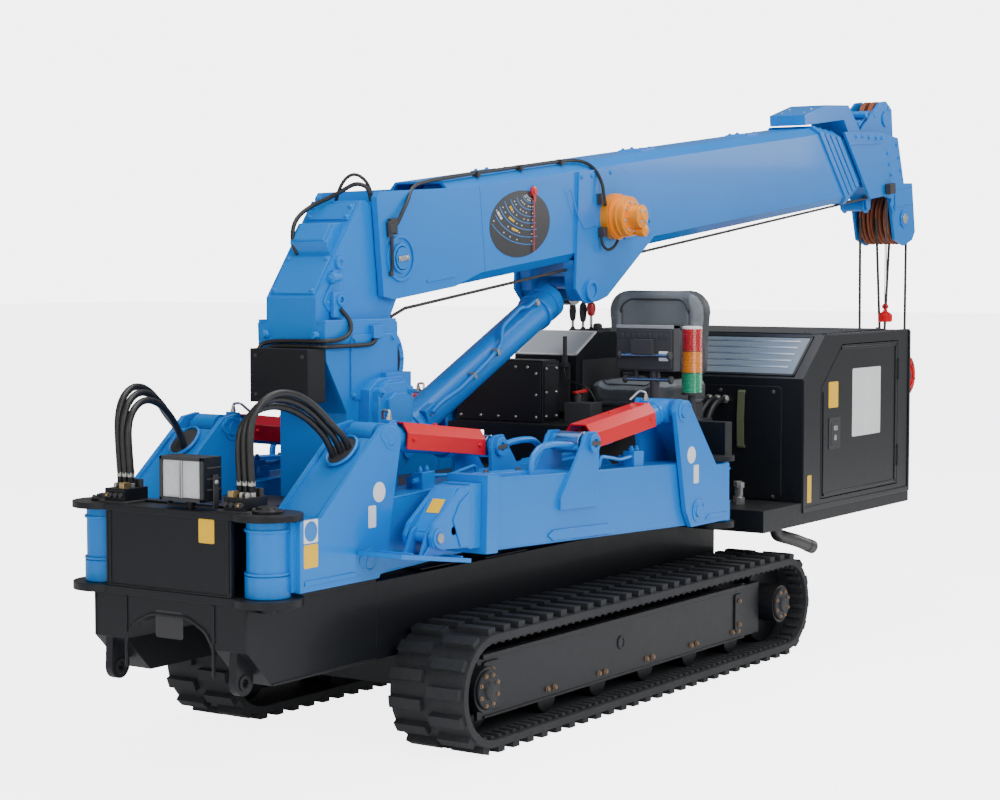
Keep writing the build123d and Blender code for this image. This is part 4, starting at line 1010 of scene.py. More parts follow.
@dataclass
class FrontFrame:
    """The front frame's seams, caps, manifold fittings and work lamp."""

    machine: Machine
    face_x: float = 934.0
    top_z: float = 895.0
    lip_z: float = 625.0
    eye_x: float = 850.0
    eye_y: float = 350.0

    def build(self) -> None:
        """Dress the front frame and what stands on it."""
        self.machine.dress(BLACK, "front_frame", "chassis", "engine_base", "valve_blocks", "work_lamp")
        self.machine.tint("engine_base", DARK_STEEL, lambda p: p.z < 545)
        self.seams()
        self.caps()
        self.manifolds()
        self.lamp()
        self.hull()

    def seams(self) -> None:
        """Add the weld seams and the folded edges of the face plate, legs and arch, and thin dark sheets as
        painted shade in its slots.
        """
        x = self.face_x
        seams, slots = self.machine.shapes(2)
        for side in SIDES:
            seams.block((x - 1, side * 262, self.lip_z), (x + 3, side * 250, self.top_z - 20))
            seams.pipe([(x, side * 268, self.lip_z + 3), (x, side * 268, self.top_z - 24)], 4, 1, 8)
            seams.pipe([(930, side * 328, 452), (930, side * 328, 598)], 4, 1, 8)
            seams.pipe([(260, side * 331, 334), (810, side * 331, 334)], 5, 1, 8)
            seams.block((905, side * 196, 470), (934, side * 184, 596))
            seams.pipe([(905, side * 300, self.lip_z + 2), (905, side * 345, self.lip_z + 2)], 4, 1, 8)
        seams.pipe([(x, -266, self.lip_z + 4), (x, 266, self.lip_z + 4)], 5, 1, 8)
        arch = [(931, -190, 360), (931, -190, 455), (931, -154, 509), (931, -78, 546),
                (931, 78, 546), (931, 154, 509), (931, 190, 455), (931, 190, 360)]
        seams.pipe(arch, 6, 20, 8)
        seams.plate(round_box(700, 790, -30, 30, 8), self.top_z, self.top_z + 5, Way.UP)
        seams.piece("front_frame_seams", BLACK, "machine", 1.2, "black_paint")
        # Thin dark sheets in the lip's slots and under the arch: painted shade.
        for side in SIDES:
            slots.plate(round_box(808, 872, side * 300 - 9, side * 300 + 9, 8), 598.6, 599.2, Way.UP)
        slots.plate(round_box(-60, 60, 470, 560, 10), 929.4, 930.6, Way.ALONG)
        slots.piece("front_frame_slot_shade", DARK_PLASTIC, "machine", 0)
        sign = self.machine.shape().plate(round_box(134, 200, 794, 872, 5), x, x + 0.9, Way.ALONG)
        sign.piece("front_frame_sign", YELLOW_LABEL, "machine", 0)

    def caps(self) -> None:
        """Add the king pins' caps above and below, and the hitch lugs' collars."""
        caps, bolts = self.machine.shapes(2)
        above = [(0, 52), (10, 52), (12, 36), (20, 34), (22, 28)]
        below = [(0, 54), (10, 52), (12, 34), (24, 32)]
        for side in SIDES:
            y = side * self.eye_y
            caps.turned((self.eye_x, y, self.top_z), (self.eye_x, y, 999), above)
            caps.turned((self.eye_x, y, 600), (self.eye_x, y, 500), below)
            for face in (LUG_FACE - 15, LUG_FACE + 15):
                way = math.copysign(5, face - LUG_FACE)
                caps.ring((891, side * face, 348), (891, side * (face + way), 348), 27, 14)
            spots = circle(self.eye_x, y, 43, 3, 60)
            bolts.bolts([(a, b, self.top_z + 10) for a, b in spots], (0, 0, 1), 7)
            for x, y in ((770, 320), (900, 320), (770, 60), (770, -60)):
                bolts.bolt((x, side * y if x > 800 else y, self.top_z), (0, 0, 1), 8)
        caps.piece("king_pin_caps", BLACK, "machine", 1.5, "black_paint")
        bolts.piece("front_frame_bolts", DARK_STEEL, "machine", 0.6, "forged_steel")

    def manifolds(self) -> None:
        """Add the fittings, caps and coils of the two hose manifolds and their hoses."""
        base, low = self.top_z + 48, self.top_z + 26
        pale, dark, brass = self.machine.shapes(3)
        fitting = [(0, 14), (14, 14), (15, 11), (34, 11), (35, 13), (50, 13), (52, 9)]
        plug = [(0, 9), (12, 9), (13, 6), (16, 6)]
        for side in SIDES:
            for y in (238, 262, 286):
                pale.turned((850, side * y, base), (850, side * y, base + 9), fitting, 6)
                pale.turned((872, side * y, base), (872, side * y, base + 9), plug, 6)
            for y in (228, 252, 276, 294):
                dark.rod((815, side * y, base - 2), (815, side * y, base + 26), 9, 16)
                dark.rod((905, side * y, low), (916, side * y, low), 8, 16)
            brass.block((868, side * 226, base - 4), (898, side * 248, base + 20))
            brass.turned((905, side * 286, low), (999, side * 286, low), [(0, 9), (8, 9), (9, 5), (16, 5)], 6)
            foot = round_box(776, 918, side * 260 - 66, side * 260 + 66, 6)
            dark.plate(foot, self.top_z, self.top_z + 7, Way.UP)
        pale.piece("manifold_fittings", ZINC, "machine", 0.5, "valve_steel")
        dark.piece("manifold_caps", DARK_PLASTIC, "machine", 0.8, "dark_plastic")
        brass.piece("manifold_valves", BRASS, "machine", 0.8, "valve_steel")
        # start y, share of the full arch, end x, end y, end z
        rows = (
            (238, 0.84, 482, 330, 1040),
            (262, 0.93, 466, 350, 1053),
            (286, 1.0, 450, 370, 1066),
        )
        # x, share of the way from the start y to the end y, height above the fittings
        arch = ((850, 0.0, 0), (860, 0.0, 110), (856, 0.05, 196), (822, 0.15, 254), (756, 0.34, 286),
                (676, 0.55, 276), (600, 0.76, 232), (538, 0.92, 170))
        for side, word in ((1, "left"), (-1, "right")):
            for number, (y, share, end_x, end_y, end_z) in enumerate(rows, 1):
                points = [(x, side * (y + (end_y - y) * t), base + 46 + rise * share) for x, t, rise in arch]
                points += [(end_x + 22, side * end_y, end_z + 44), (end_x, side * end_y, end_z)]
                self.machine.cord(f"front_hose_{word}_{number}", "machine", 12, points)

    def lamp(self) -> None:
        """Add the work lamp's rim, ribbed lens, guard bars and foot."""
        y0, y1, z0, z1 = -30, 154, 923, 1067
        rim, lens, guard = self.machine.shapes(3)
        for low, high, left, right in frame_edges(z0, z1, y0, y1, 12, 12):
            rim.block((928, left, low), (939, right, high))
        for z in (960, 995, 1030):
            rim.block((845, y0 - 4, z), (915, y1 + 4, z + 5))
        rim.block((868, y0 - 9, 905), (892, y0 - 3, 1010))
        rim.block((868, y1 + 3, 905), (892, y1 + 9, 1010))
        rim.block((868, y0 - 9, 900), (892, y1 + 9, 907))
        rim.piece("work_lamp_rim", DARK_PLASTIC, "machine", 1.5, "lamp_housing")
        lens.block((928, y0 + 12, z0 + 12), (933, y1 - 12, z1 - 12))
        lens.piece("work_lamp_lens", CLEAR_LENS, "machine", 0.5, "signal_lens")
        for y in (58, 66):
            guard.pipe([(933, y, z0 + 8), (938, y, z0 + 16), (938, y, z1 - 16), (933, y, z1 - 8)], 3, 6, 8)
        guard.bolt((880, y0 - 9, 985), (0, -1, 0), 7)
        guard.bolt((880, y1 + 9, 985), (0, 1, 0), 7)
        guard.piece("work_lamp_guard", ZINC, "machine", 0.4, "forged_steel")

    def hull(self) -> None:
        """Add the deck's tread bars, step plates and covers between the outriggers."""
        deck, bolts = self.machine.shapes(2)
        for side in SIDES:
            deck.block((-330, side * 236, 606), (-20, side * 322, 612))
            deck.block((-700, side * 250, 600), (-420, side * 326, 607))
            deck.plate(round_box(-1000, -720, 610, 690, 10), side * 240, side * 247)
            deck.pipe([(-340, side * 243, 640), (-900, side * 243, 652), (-1500, side * 243, 640)], 9, 60, 10)
        deck.plate(round_box(-1180, -700, -150, 150, 20), 860, 866, Way.UP)
        deck.piece("deck_covers", BLACK, "machine", 1.5, "black_paint")
        bolts.bolts([(x, y, 866) for x in (-1160, -940, -720) for y in (-130, 130)], (0, 0, 1), 8)
        bolts.bolts([(a, b, 634) for a, b in circle(0, 0, 210, 20, 9)], (0, 0, 1))
        bolts.piece("deck_bolts", DARK_STEEL, "machine", 0.6, "forged_steel")


@dataclass
class Outrigger:
    """One outrigger's bosses, keepers, collar bolts, ports, pipes and blank labels."""

    machine: Machine
    name: str
    places: dict[str, Place]
    reach: float
    front: bool
    bracket_half: float = 100.0
    pin: float = ARM_LENGTH + FOOT_PIN_AHEAD

    def build(self) -> None:
        """Dress the outrigger's six CAD nodes and add what is on them."""
        n = self.name
        self.machine.dress(BLUE, f"{n}_bracket", f"{n}_arm", f"{n}_inner_arm", f"{n}_foot", f"{n}_barrel")
        self.machine.dress(CHROME, f"{n}_rod")
        self.machine.tint(f"{n}_barrel", RED, self.on_guard)
        self.machine.tint(f"{n}_foot", WORN_STEEL, self.on_pad_bottom)
        self.bracket()
        self.arm()
        self.foot()
        self.cylinder()

    def on_guard(self, spot: Vector) -> bool:
        """Say whether a point of the barrel lies on its guard."""
        along, across, up = self.places["cylinder"].local(spot)
        return 149 < along < 626 and (abs(across) > 54.5 or up > 52.5 or math.hypot(across, up) > 52)

    def on_pad_bottom(self, spot: Vector) -> bool:
        """Say whether a point of the foot lies under its pad."""
        along, _, up = self.places["arm"].local(spot)
        return up < 5 - 62 - 12.5 + (along - ARM_LENGTH - FOOT_PIN_AHEAD) * PAD_SLOPE

    def bracket(self) -> None:
        """Add the bracket's pin bosses, keepers, collars, seams and blank labels."""
        place, body = self.places["bracket"], f"{self.name}_bracket"
        shape, steel, label = Shape(place), Shape(place), Shape(place)
        reach, half, out = self.reach, self.bracket_half, self.bracket_half + 0.8
        top = reach + TOP_PIN_AHEAD
        for side in SIDES:
            lift = 4 if side == (1 if self.front else -1) else 10
            for a, z, radius in ((reach, ARM_PIN_Z, 44), (top, TOP_PIN_Z, 42)):
                shape.ring((a, side * 99, z), (a, side * (half + lift * 0.5), z), radius, 26)
                shape.plate(oval(a - 12, z + 10, 46, 30, 28), side * 99, side * (half + lift * 0.7))
                steel.rod((a, side * 99, z), (a, side * (half + lift), z), 24)
                steel.rod((a - 40, side * 99, z + 22), (a - 40, side * (half + lift), z + 22), 8, 6)
            edge = [(60, 660), (reach - 60, 660), (reach - 90, 676), (60, 676)]
            shape.plate(edge, side * half, side * (half + 4))
            shape.pipe([(150, side * 96, 868), (top - 50, side * 96, 1136)], 4, 1, 8)
        for z in (700, 838):
            shape.ring((0, 0, z), (0, 0, z + 9), 75, 67, 40)
        shape.piece(f"{body}_bosses", BLUE, body, 1.6, "blue_paint")
        steel.piece(f"{body}_pins", BLUE, body, 0.8, "blue_paint")
        label.plate(oval(reach + 52, 928, 34, 34, 32), half, out)
        label.plate(round_box(reach - 8, reach + 34, 812, 886, 5), half, out)
        label.piece(f"{body}_labels", WHITE_LABEL, body, 0)
        if self.front:
            self.signs(place, body)
            self.hose_hole(place, body)

    def signs(self, place: Place, body: str) -> None:
        """Add a front bracket's blank signs.

        Args:
            place: The bracket's place.
            body: The bracket's body.
        """
        half, out = self.bracket_half, self.bracket_half + 0.8
        for word, finish, outline, low, high in (
            ("sign", YELLOW_LABEL, round_box(58, 130, 716, 792, 5), half, out),
            ("order_sign", WHITE_LABEL, round_box(58, 130, 796, 872, 5), half, out),
            ("order_field", DIAL_BLUE, oval(94, 834, 32, 33, 32), out, out + 0.5),
        ):
            Shape(place).plate(outline, low, high).piece(f"{body}_{word}", finish, body, 0)

    def hose_hole(self, place: Place, body: str) -> None:
        """Add the oval hole that the hoses go into, with a dark sheet in it as painted shade and its rim, on
        the bracket's rising edge.

        Args:
            place: The bracket's place.
            body: The bracket's body.
        """
        rise = (1145 - 871) / (self.reach + TOP_PIN_AHEAD - 45 - 150)
        c, s = math.cos(math.atan(rise)), math.sin(math.atan(rise))
        middle = place.origin + place.along * 385 + place.up * (871 + 235 * rise)
        along, up = place.along * c + place.up * s, place.up * c - place.along * s
        hole = Place(middle, along, place.across, up, place.shift)
        dark, rim = Shape(hole), Shape(hole)
        # A dark sheet fills the hole: painted shade.
        dark.plate(oval(0, 0, 64, 45), -2, 1.4, Way.UP)
        dark.piece(f"{self.name}_hose_hole", DARK_PLASTIC, body, 0)
        edge = [(a, b, 1) for a, b in oval(0, 0, 68, 49)]
        rim.pipe(edge + edge[:1], 6, 1, 8)
        rim.piece(f"{self.name}_hose_hole_rim", BLUE, body, 0, "blue_paint")

    def arm(self) -> None:
        """Add the arms' doublers, collar bolts, pipes, handles and valve."""
        place, body = self.places["arm"], f"{self.name}_arm"
        shape, steel, handle, valve = (Shape(place) for _ in range(4))
        a, c = ARM_EYE
        for side in SIDES:
            face = side * ARM_HALF
            outline = [(620, -50), (1040, -50), (1075, -30), (1040, -12), (660, -12), (620, -30)]
            shape.plate(outline, face, face + side * 7)
            shape.plate(round_box(716, 892, 58, 150, 26), side * (ARM_HALF - 1), side * (ARM_HALF + 7))
            shape.ring((a, side * 96, c), (a, side * 104, c), 34, 16)
            steel.block((770, side * 102, c - 8), (830, side * 107, c + 8))
            for low in (-54, 188):
                shape.pipe([(110, side * (ARM_HALF - 1), low), (1400, side * (ARM_HALF - 1), low)], 2.6, 1, 6)
        shape.plate([(1120, 190), (1405, 190), (1390, 206), (1140, 206)], -40, 40)
        shape.piece(f"{body}_doublers", BLUE, body, 1.4, "blue_paint")
        steel.bolts([(a, 0, 206) for a in (1160, 1365)], (0, 0, 1))
        steel.piece(f"{body}_bolts", DARK_STEEL, body, 0.6, "forged_steel")
        grip = [(872, 40, 286), (985, 46, 298), (1096, 46, 288), (1150, 46, 244), (1150, 46, 186)]
        handle.pipe(grip, 12, 60, 14)
        feed = [(700, 56, 200), (690, 58, 240), (610, 58, 232), (540, 52, 222), (430, 44, 232)]
        handle.pipe(feed, 7, 24, 10)
        handle.piece(f"{body}_handle", BLUE, body, 0, "blue_paint")
        valve.block((366, 8, 190), (440, 58, 250))
        valve.block((376, -20, 190), (428, 8, 232))
        for a in (384, 422):
            valve.turned((a, 33, 250), (a, 33, 999), [(0, 12), (10, 12), (11, 8), (20, 8)], 6)
        valve.turned((366, 33, 222), (0, 33, 222), [(0, 13), (12, 13), (13, 9), (26, 9)], 6)
        valve.piece(f"{body}_valve", BLUE, body, 1.5, "blue_paint")

    def foot(self) -> None:
        """Add the inner arm's end frame and label, and the foot's gussets, keeper and hollow edge."""
        place, body, pin = self.places["arm"], f"{self.name}_inner_arm", self.pin
        inner, steel, sign, pad = (Shape(place) for _ in range(4))
        for side in SIDES:
            inner.ring((pin, side * 60, 5), (pin, side * 66, 5), 32, 18)
            cheek = [(1552, 150), (1552, -34), (1604, -34), (1650, 60), (1610, 120)]
            inner.plate(cheek, side * 60, side * 65)
            steel.rod((pin, side * 64, 5), (pin, side * 72, 5), 17)
        inner.plate([(1556, 172), (1606, 168), (1738, 24), (1728, 14), (1600, 158), (1556, 162)], -44, 44)
        inner.rod((1640, -60, 24), (1640, 60, 24), 17)
        inner.piece(f"{body}_frame", BLUE, body, 1.6, "blue_paint")
        steel.piece(f"{self.name}_foot_pin_ends", ZINC, body, 0.8, "forged_steel")
        sign.plate(slope((1664, 105), (1738 - 1606, 24 - 168)).strip(-30, 30, 0.3, 1.2), -26, 26)
        sign.piece(f"{self.name}_foot_sign", YELLOW_LABEL, body, 0)
        for side in SIDES:
            gusset = [(pin - 60, -56), (pin + 66, -56), (pin + 30, -20), (pin - 26, -20)]
            pad.plate(gusset, side * 42, side * 47)
        for step in (-116, 168):
            a, lean = pin + step, PAD_SLOPE * step
            rib = [(a - 5, -61 + lean), (a + 5, -61 + lean), (a + 5, -50 + lean), (a - 5, -50 + lean)]
            pad.plate(rib, -78, 78)
        pad.piece(f"{self.name}_foot_gussets", BLUE, f"{self.name}_foot", 1.2, "blue_paint")

    def cylinder(self) -> None:
        """Add the cylinder's eye collars, gland, ports, pipe and guard bolts."""
        place, body = self.places["cylinder"], f"{self.name}_barrel"
        shape, steel, guard, rod = (Shape(place) for _ in range(4))
        shape.ring((66, 0, 0), (84, 0, 0), 50, 30)
        shape.ring((434, 0, 0), (446, 0, 0), 55, 40)
        shape.block((96, -18, 42), (134, 18, 62))
        shape.piece(f"{body}_collars", BLUE, body, 1.2, "blue_paint")
        steel.turned((115, 0, 60), (115, 0, 99), [(0, 11), (12, 11), (13, 8), (24, 8)], 6)
        steel.pipe([(115, 0, 80), (115, 0, 92), (115, -30, 96), (150, -52, 66)], 5, 12, 10)
        steel.turned((478, 0, 0), (999, 0, 0), [(0, 36), (6, 34), (8, 27)], 32)
        steel.piece(f"{body}_ports", ZINC, body, 0.6, "valve_steel")
        for a in (186, 590):
            for side in SIDES:
                guard.bolt((a, side * GUARD_REACH, 0), (0, side, 0), 7)
        guard.bolt((388, 0, 58), (0, 0, 1), 8)
        guard.piece(f"{self.name}_guard_bolts", RED, body, 0.6, "red_paint")
        c, s = math.cos(ARM_RISE), math.sin(ARM_RISE)
        ahead = ARM_EYE[0] * c - ARM_EYE[1] * s - TOP_PIN_AHEAD
        above = ARM_EYE[0] * s + ARM_EYE[1] * c - TOP_PIN_Z + ARM_PIN_Z
        span = Vector((ahead, above)).length
        rod.ring((span - 62, 0, 0), (span - 34, 0, 0), 31, 20)
        rod.piece(f"{self.name}_rod_collar", ZINC, f"{self.name}_rod", 1.0, "forged_steel")


@dataclass
class Post:
    """The column's covers, hatch, bolts, sensor, hoses and winch."""

    machine: Machine
    winch_middle: tuple[float, float] = (-48.0, 1340.0)
    gear_middle: tuple[float, float] = (-10.0, 1175.0)
    face: float = 150.0
    head_face: float = 110.0
    foot_z: float = 705.0

    def build(self) -> None:
        """Dress the turntable, column, winch and junction box."""
        self.machine.dress(BLUE, "post", "winch")
        self.machine.dress(BLACK, "turntable", "junction_box")
        x, z = self.winch_middle
        self.machine.tint("winch", BLACK, lambda p: abs(p.y) < 136 and math.hypot(p.x - x, p.z - z) < 126)
        self.covers()
        self.gear()
        self.electrics()
        self.cables()

    def covers(self) -> None:
        """Add the head's covers, hatch, flanges and bolts."""
        shape, bolts, ring = self.machine.shapes(3)
        front = slope((44, 1909), (300 - 44, 1568 - 1909))
        off = front.off()
        for low, high in ((20, 88), (250, 410)):
            shape.plate(front.strip(low, high, -3, 7), -96, 96)
            for run in (low + 12, high - 12):
                x, z = front.at(run, 7)
                bolts.bolts([(x, -84, z), (x, 84, z)], (off.x, 0, off.y), 7)
        shape.plate([front.at(96, -3), front.at(132, 40), front.at(214, 40), front.at(236, -3)], -82, 82)
        shape.plate(front.strip(138, 208, 38, 46), -66, 66)
        shape.ring((172, 109, 1690), (172, 122, 1690), 22, 10)
        shape.rod((172, 109, 1690), (172, 118, 1690), 11)
        shape.block((172, 116, 1500), (228, 134, 1588))
        shape.ring((192, 134, 1560), (192, 142, 1560), 20, 10)
        shape.block((-4, 149, 1424), (50, 172, 1470))
        for side in SIDES:
            head, face, out = side * self.head_face, side * self.face, (0, side, 0)
            gusset = [(152, 1532), (235, 1520), (262, 1556), (206, 1640), (164, 1622)]
            shape.plate(gusset, head, head + side * 6)
            shape.plate(round_box(-96, 160, 1210, 1440, 24), face, face + side * 6)
            shape.plate(round_box(-106, 172, self.foot_z, 735, 4), face, face + side * 10)
            bolts.bolts([(x, head + side * 6, z) for x, z in ((176, 1548), (240, 1552))], out, 6)
            bolts.bolts([(x, face + side * 6, z) for x in (-80, 145) for z in (1226, 1424)], out, 8)
            shape.plate([(-110, 1478), (296, 1478), (296, 1492), (-110, 1492)], head, face)
        shape.block((180, -self.face, self.foot_z), (192, self.face, 735))
        for y in (-112, 112):
            shape.turned((262, y, 1440), (999, y, 1440), [(0, 16), (46, 16), (48, 12), (58, 12)], 24)
        shape.piece("post_covers", BLUE, "slewing_post", 2.0, "blue_paint")
        bolts.piece("post_bolts", BLUE, "slewing_post", 0.6, "blue_paint")
        rim = circle(0, 0, 214, 24, 7)
        ring.bolts([(a, b, 700) for a, b in rim if max(abs(a - 31), abs(b)) - 150 > 4], (0, 0, 1))
        ring.piece("turntable_bolts", DARK_STEEL, "slewing_post", 0.6, "forged_steel")

    def gear(self) -> None:
        """Add the winch gear's housing rings, bolts and drum flange."""
        shape, bolts = self.machine.shapes(2)
        x, z = self.gear_middle
        housing = ((-96, -104), (104, -104), (124, -40), (118, 70),
                   (64, 108), (-70, 112), (-122, 62), (-124, -44))
        for share, low, high in ((1, self.face, 196), (0.84, 196, 222), (0.5, 222, 240)):
            shape.plate([(x + a * share, z + b * share) for a, b in housing], low, high)
        for a, b in ((x - 84, z - 74), (x + 92, z - 60), (x + 84, z + 62), (x - 84, z + 64)):
            shape.rod((a, 194, b), (a, 228, b), 15, 16)
            bolts.bolt((a, 228, b), (0, 1, 0), 7)
        x, z = self.winch_middle
        for side in SIDES:
            shape.ring((x, side * 128, z), (x, side * 136, z), 128, 104, 48)
        bolts.bolts([(a, 136, b) for a, b in circle(x, z, 116, 14, 100)[:7]], (0, 1, 0), 6)
        shape.piece("winch_gear_rings", BLUE, "slewing_post", 1.6, "blue_paint")
        bolts.piece("winch_bolts", BLUE, "slewing_post", 0.5, "blue_paint")

    def electrics(self) -> None:
        """Add the junction box's lid, hinges and glands, and the column's sensor."""
        lid, trim, sensor = self.machine.shapes(3)
        lid.plate(round_box(-96, 141, 1220, 1386, 12), 389, 394.4, Way.ALONG)
        for z in (1262, 1344):
            lid.block((386, -103, z - 12), (394, -97, z + 12))
        lid.block((308, 120, 1386), (384, 142, 1394.6))
        lid.piece("junction_box_lid", BLACK, "slewing_post", 1.6, "black_paint")
        trim.bolts([(394.2, y, z) for y in (-80, 126) for z in (1236, 1370)], (1, 0, 0), 6)
        for y in (-60, -20, 20, 60, 100):
            trim.turned((345, y, 1210), (345, y, 0), [(0, 13), (10, 13), (11, 9), (22, 9)], 6)
        trim.piece("junction_box_glands", DARK_PLASTIC, "slewing_post", 0.5, "dark_plastic")
        can = [(0, 16), (36, 16), (38, 19), (50, 19), (52, 10), (58, 10)]
        sensor.turned((180, 119, 1640), (999, 119, 1590), can, 24)
        sensor.block((186, 110, 1616), (214, 120, 1664))
        sensor.piece("post_sensor", BLUE, "slewing_post", 1.0, "blue_paint")

    def cables(self) -> None:
        """Lay the cables round the front of the column and over its head."""
        routes = {
            "front": [
                (196, 136, 1530), (176, 146, 1508), (164, 160, 1478), (182, 166, 1440), (240, 166, 1424),
                (306, 162, 1422), (318, 130, 1420), (314, 60, 1420), (314, -60, 1418), (316, -104, 1412),
                (326, -124, 1396), (338, -128, 1360)],
            "side": [
                (30, 164, 1426), (40, 166, 1412), (60, 166, 1404), (110, 166, 1402), (200, 164, 1402),
                (302, 164, 1402), (320, 132, 1402), (314, 60, 1402), (314, -60, 1402), (318, -98, 1390),
                (340, -104, 1372)],
            "top": [
                (178, -60, 1712), (196, -70, 1736), (190, -84, 1800), (150, -92, 1852), (96, -70, 1892),
                (50, -20, 1922), (20, 20, 1950), (4, 56, 1972), (-26, 84, 1962), (-40, 92, 1926),
                (-40, 92, 1908)],
            "loop": [
                (20, -20, 1908), (30, 0, 1950), (20, 30, 1996), (0, 60, 2006), (-30, 84, 1976),
                (-50, 88, 1930), (-52, 88, 1908)],
        }
        for word, route in routes.items():
            self.machine.cord(f"post_cable_{word}", "slewing_post", 6 if word == "loop" else 8, route)


@dataclass
class Boom:
    """The boom's dial, seams, pin caps, cable, reel and taut hoist rope."""

    machine: Machine
    dial_middle: tuple[float, float] = (795.0, 45.0)
    dial_half: tuple[float, float] = (215.0, 129.0)
    pointer_pin: tuple[float, float] = (899.0, 163.0)
    reel_middle: tuple[float, float] = (1470.0, 8.0)

    def build(self) -> None:
        """Dress the sections and what is fixed to them."""
        self.machine.dress(BLUE, "boom_base", *(f"boom_section_{n}" for n in (1, 2, 3, 4)), "lift_barrel")
        self.machine.dress(ORANGE, "rope_reel")
        self.machine.dress(CHROME, "lift_rod")
        self.pivots()
        self.dial()
        self.reel()
        self.lift()
        self.cable()
        self.rope()

    def pivots(self) -> None:
        """Add the foot pin's embossed rings and caps, and the lift bracket's edges and bolts."""
        shape, bolts, pins = self.machine.boom_shapes(3)
        for side in SIDES:
            face, out = side * BOOM_HALF, (0, side, 0)
            shape.ring((0, face, 0), (0, face + side * 6, 0), 84, 72, 56)
            shape.ring((0, face, 0), (0, face + side * 9, 0), 54, 43, 40)
            shape.plate([(150, -108), (330, -108), (330, -96), (150, -96)], face, face + side * 3)
            shape.pipe([(534, face, -108), (534, face, 214)], 2.4, 1, 6)
            edge = [(1157, 150), (1206, 30), (1240, -16), (1330, -16)]
            shape.pipe([(s, side * 153, w) for s, w in edge], 3, 10, 6)
            face = side * BRACKET_FACE
            shape.plate(round_box(1560, 1780, -96, -78, 6), face, face + side * 4)
            shape.ring((LIFT_EYE_S, side * 160, LIFT_EYE_W), (LIFT_EYE_S, side * 167, LIFT_EYE_W), 46, 30, 40)
            spots = ((1250, 190), (1330, 190), (1480, 190), (1700, -60), (1780, -40))
            bolts.bolts([(s, face, w) for s, w in spots], out, 7)
            pins.block((-30, face, -9), (30, face + side * 5, 9))
            pins.bolts([(s, face + side * 5, 0) for s in (-22, 22)], out, 6)
        for s in (760, 1900, 2900):
            shape.plate([(s, 248), (s + 120, 248), (s + 112, 258), (s + 8, 258)], -60, 60)
            bolts.bolts([(s + step, y, 258) for y in (-44, 44) for step in (22, 98)], (0, 0, 1), 7)
        shape.piece("boom_seams", BLUE, "boom", 1.2, "blue_paint")
        bolts.piece("boom_bolts", BLUE, "boom", 0.5, "blue_paint")
        pins.piece("foot_pin_keepers", ZINC, "slewing_post", 0.8, "forged_steel")

    def dial(self) -> None:
        """Add the oval load dial with plain arcs and its hanging pointer."""
        plate, blue, yellow, white, pointer = self.machine.boom_shapes(5)
        plate.plate(oval(*self.dial_middle, *self.dial_half), 140, 141)
        plate.piece("load_dial", DIAL_FACE, "boom", 0)
        # shape of an arc, its radius, where it starts and ends in degrees, its width
        for shape, radius, first, last, width in (
            (white, 30, 196, 262, 2), (blue, 46, 192, 270, 3), (blue, 72, 190, 272, 3),
            (blue, 98, 190, 272, 3), (blue, 124, 190, 272, 3), (blue, 150, 190, 272, 3),
            (blue, 178, 192, 272, 3), (blue, 206, 200, 268, 3), (yellow, 111, 203, 214, 8),
            (yellow, 137, 218, 230, 8), (yellow, 163, 232, 243, 8), (white, 164, 200, 212, 8),
        ):
            self.arc(shape, radius, first, last, width)
        for radius in (38, 60, 86, 112, 138, 166, 194):
            for number in range(8):
                first = 197 + number * 9.5
                if (number * 3 + radius) % 4:
                    self.arc(white, radius, first, first + 260 / radius, 4, 2)
        blue.piece("load_dial_blue_arcs", DIAL_BLUE, "boom", 0)
        yellow.piece("load_dial_yellow_arcs", YELLOW_LABEL, "boom", 0)
        white.piece("load_dial_white_arcs", WHITE_LABEL, "boom", 0)
        s, w = self.pointer_pin
        pointer.turned((s, 141, w), (s, 999, w), [(0, 20), (8, 20), (10, 12), (15, 12)], 24)
        pointer.plate([(s - 12, w - 6), (s + 12, w - 6), (s + 4, w - 42), (s - 4, w - 42)], 145, 149)
        pointer.plate([(s - 3, w - 2), (s + 3, w - 2), (s - 26, w - 236), (s - 31, w - 236)], 146, 148)
        pointer.piece("load_dial_pointer", RED_PLASTIC, "boom", 0.4, "red_paint")

    def arc(
        self, shape: Shape, radius: float, first: float, last: float, width: float, steps: int = 16
    ) -> None:
        """Add a thin painted arc round the pointer's pin, clipped to the dial's oval.

        Args:
            shape: The shape that gets it.
            radius: The arc's radius across the boom; along it the arc is as long as the oval is wide.
            first: Where it starts, in degrees.
            last: Where it ends.
            width: Its width.
            steps: How many runs it has.
        """
        pin_s, pin_w = self.pointer_pin
        middle_s, middle_w = self.dial_middle
        half_s, half_w = self.dial_half
        turns = [math.radians(first + (last - first) * i / steps) for i in range(steps + 1)]
        inner, outer = [[(pin_s + half_s / half_w * r * math.cos(t), pin_w + r * math.sin(t)) for t in turns]
                        for r in (radius - width / 2, radius + width / 2)]
        for run in zip(inner, inner[1:], outer[1:], outer):
            shares = [((s - middle_s) / (half_s - 10), (w - middle_w) / (half_w - 8)) for s, w in run]
            if all(a**2 + b**2 < 1 for a, b in shares):
                shape.plate(run, 141, 141.5)

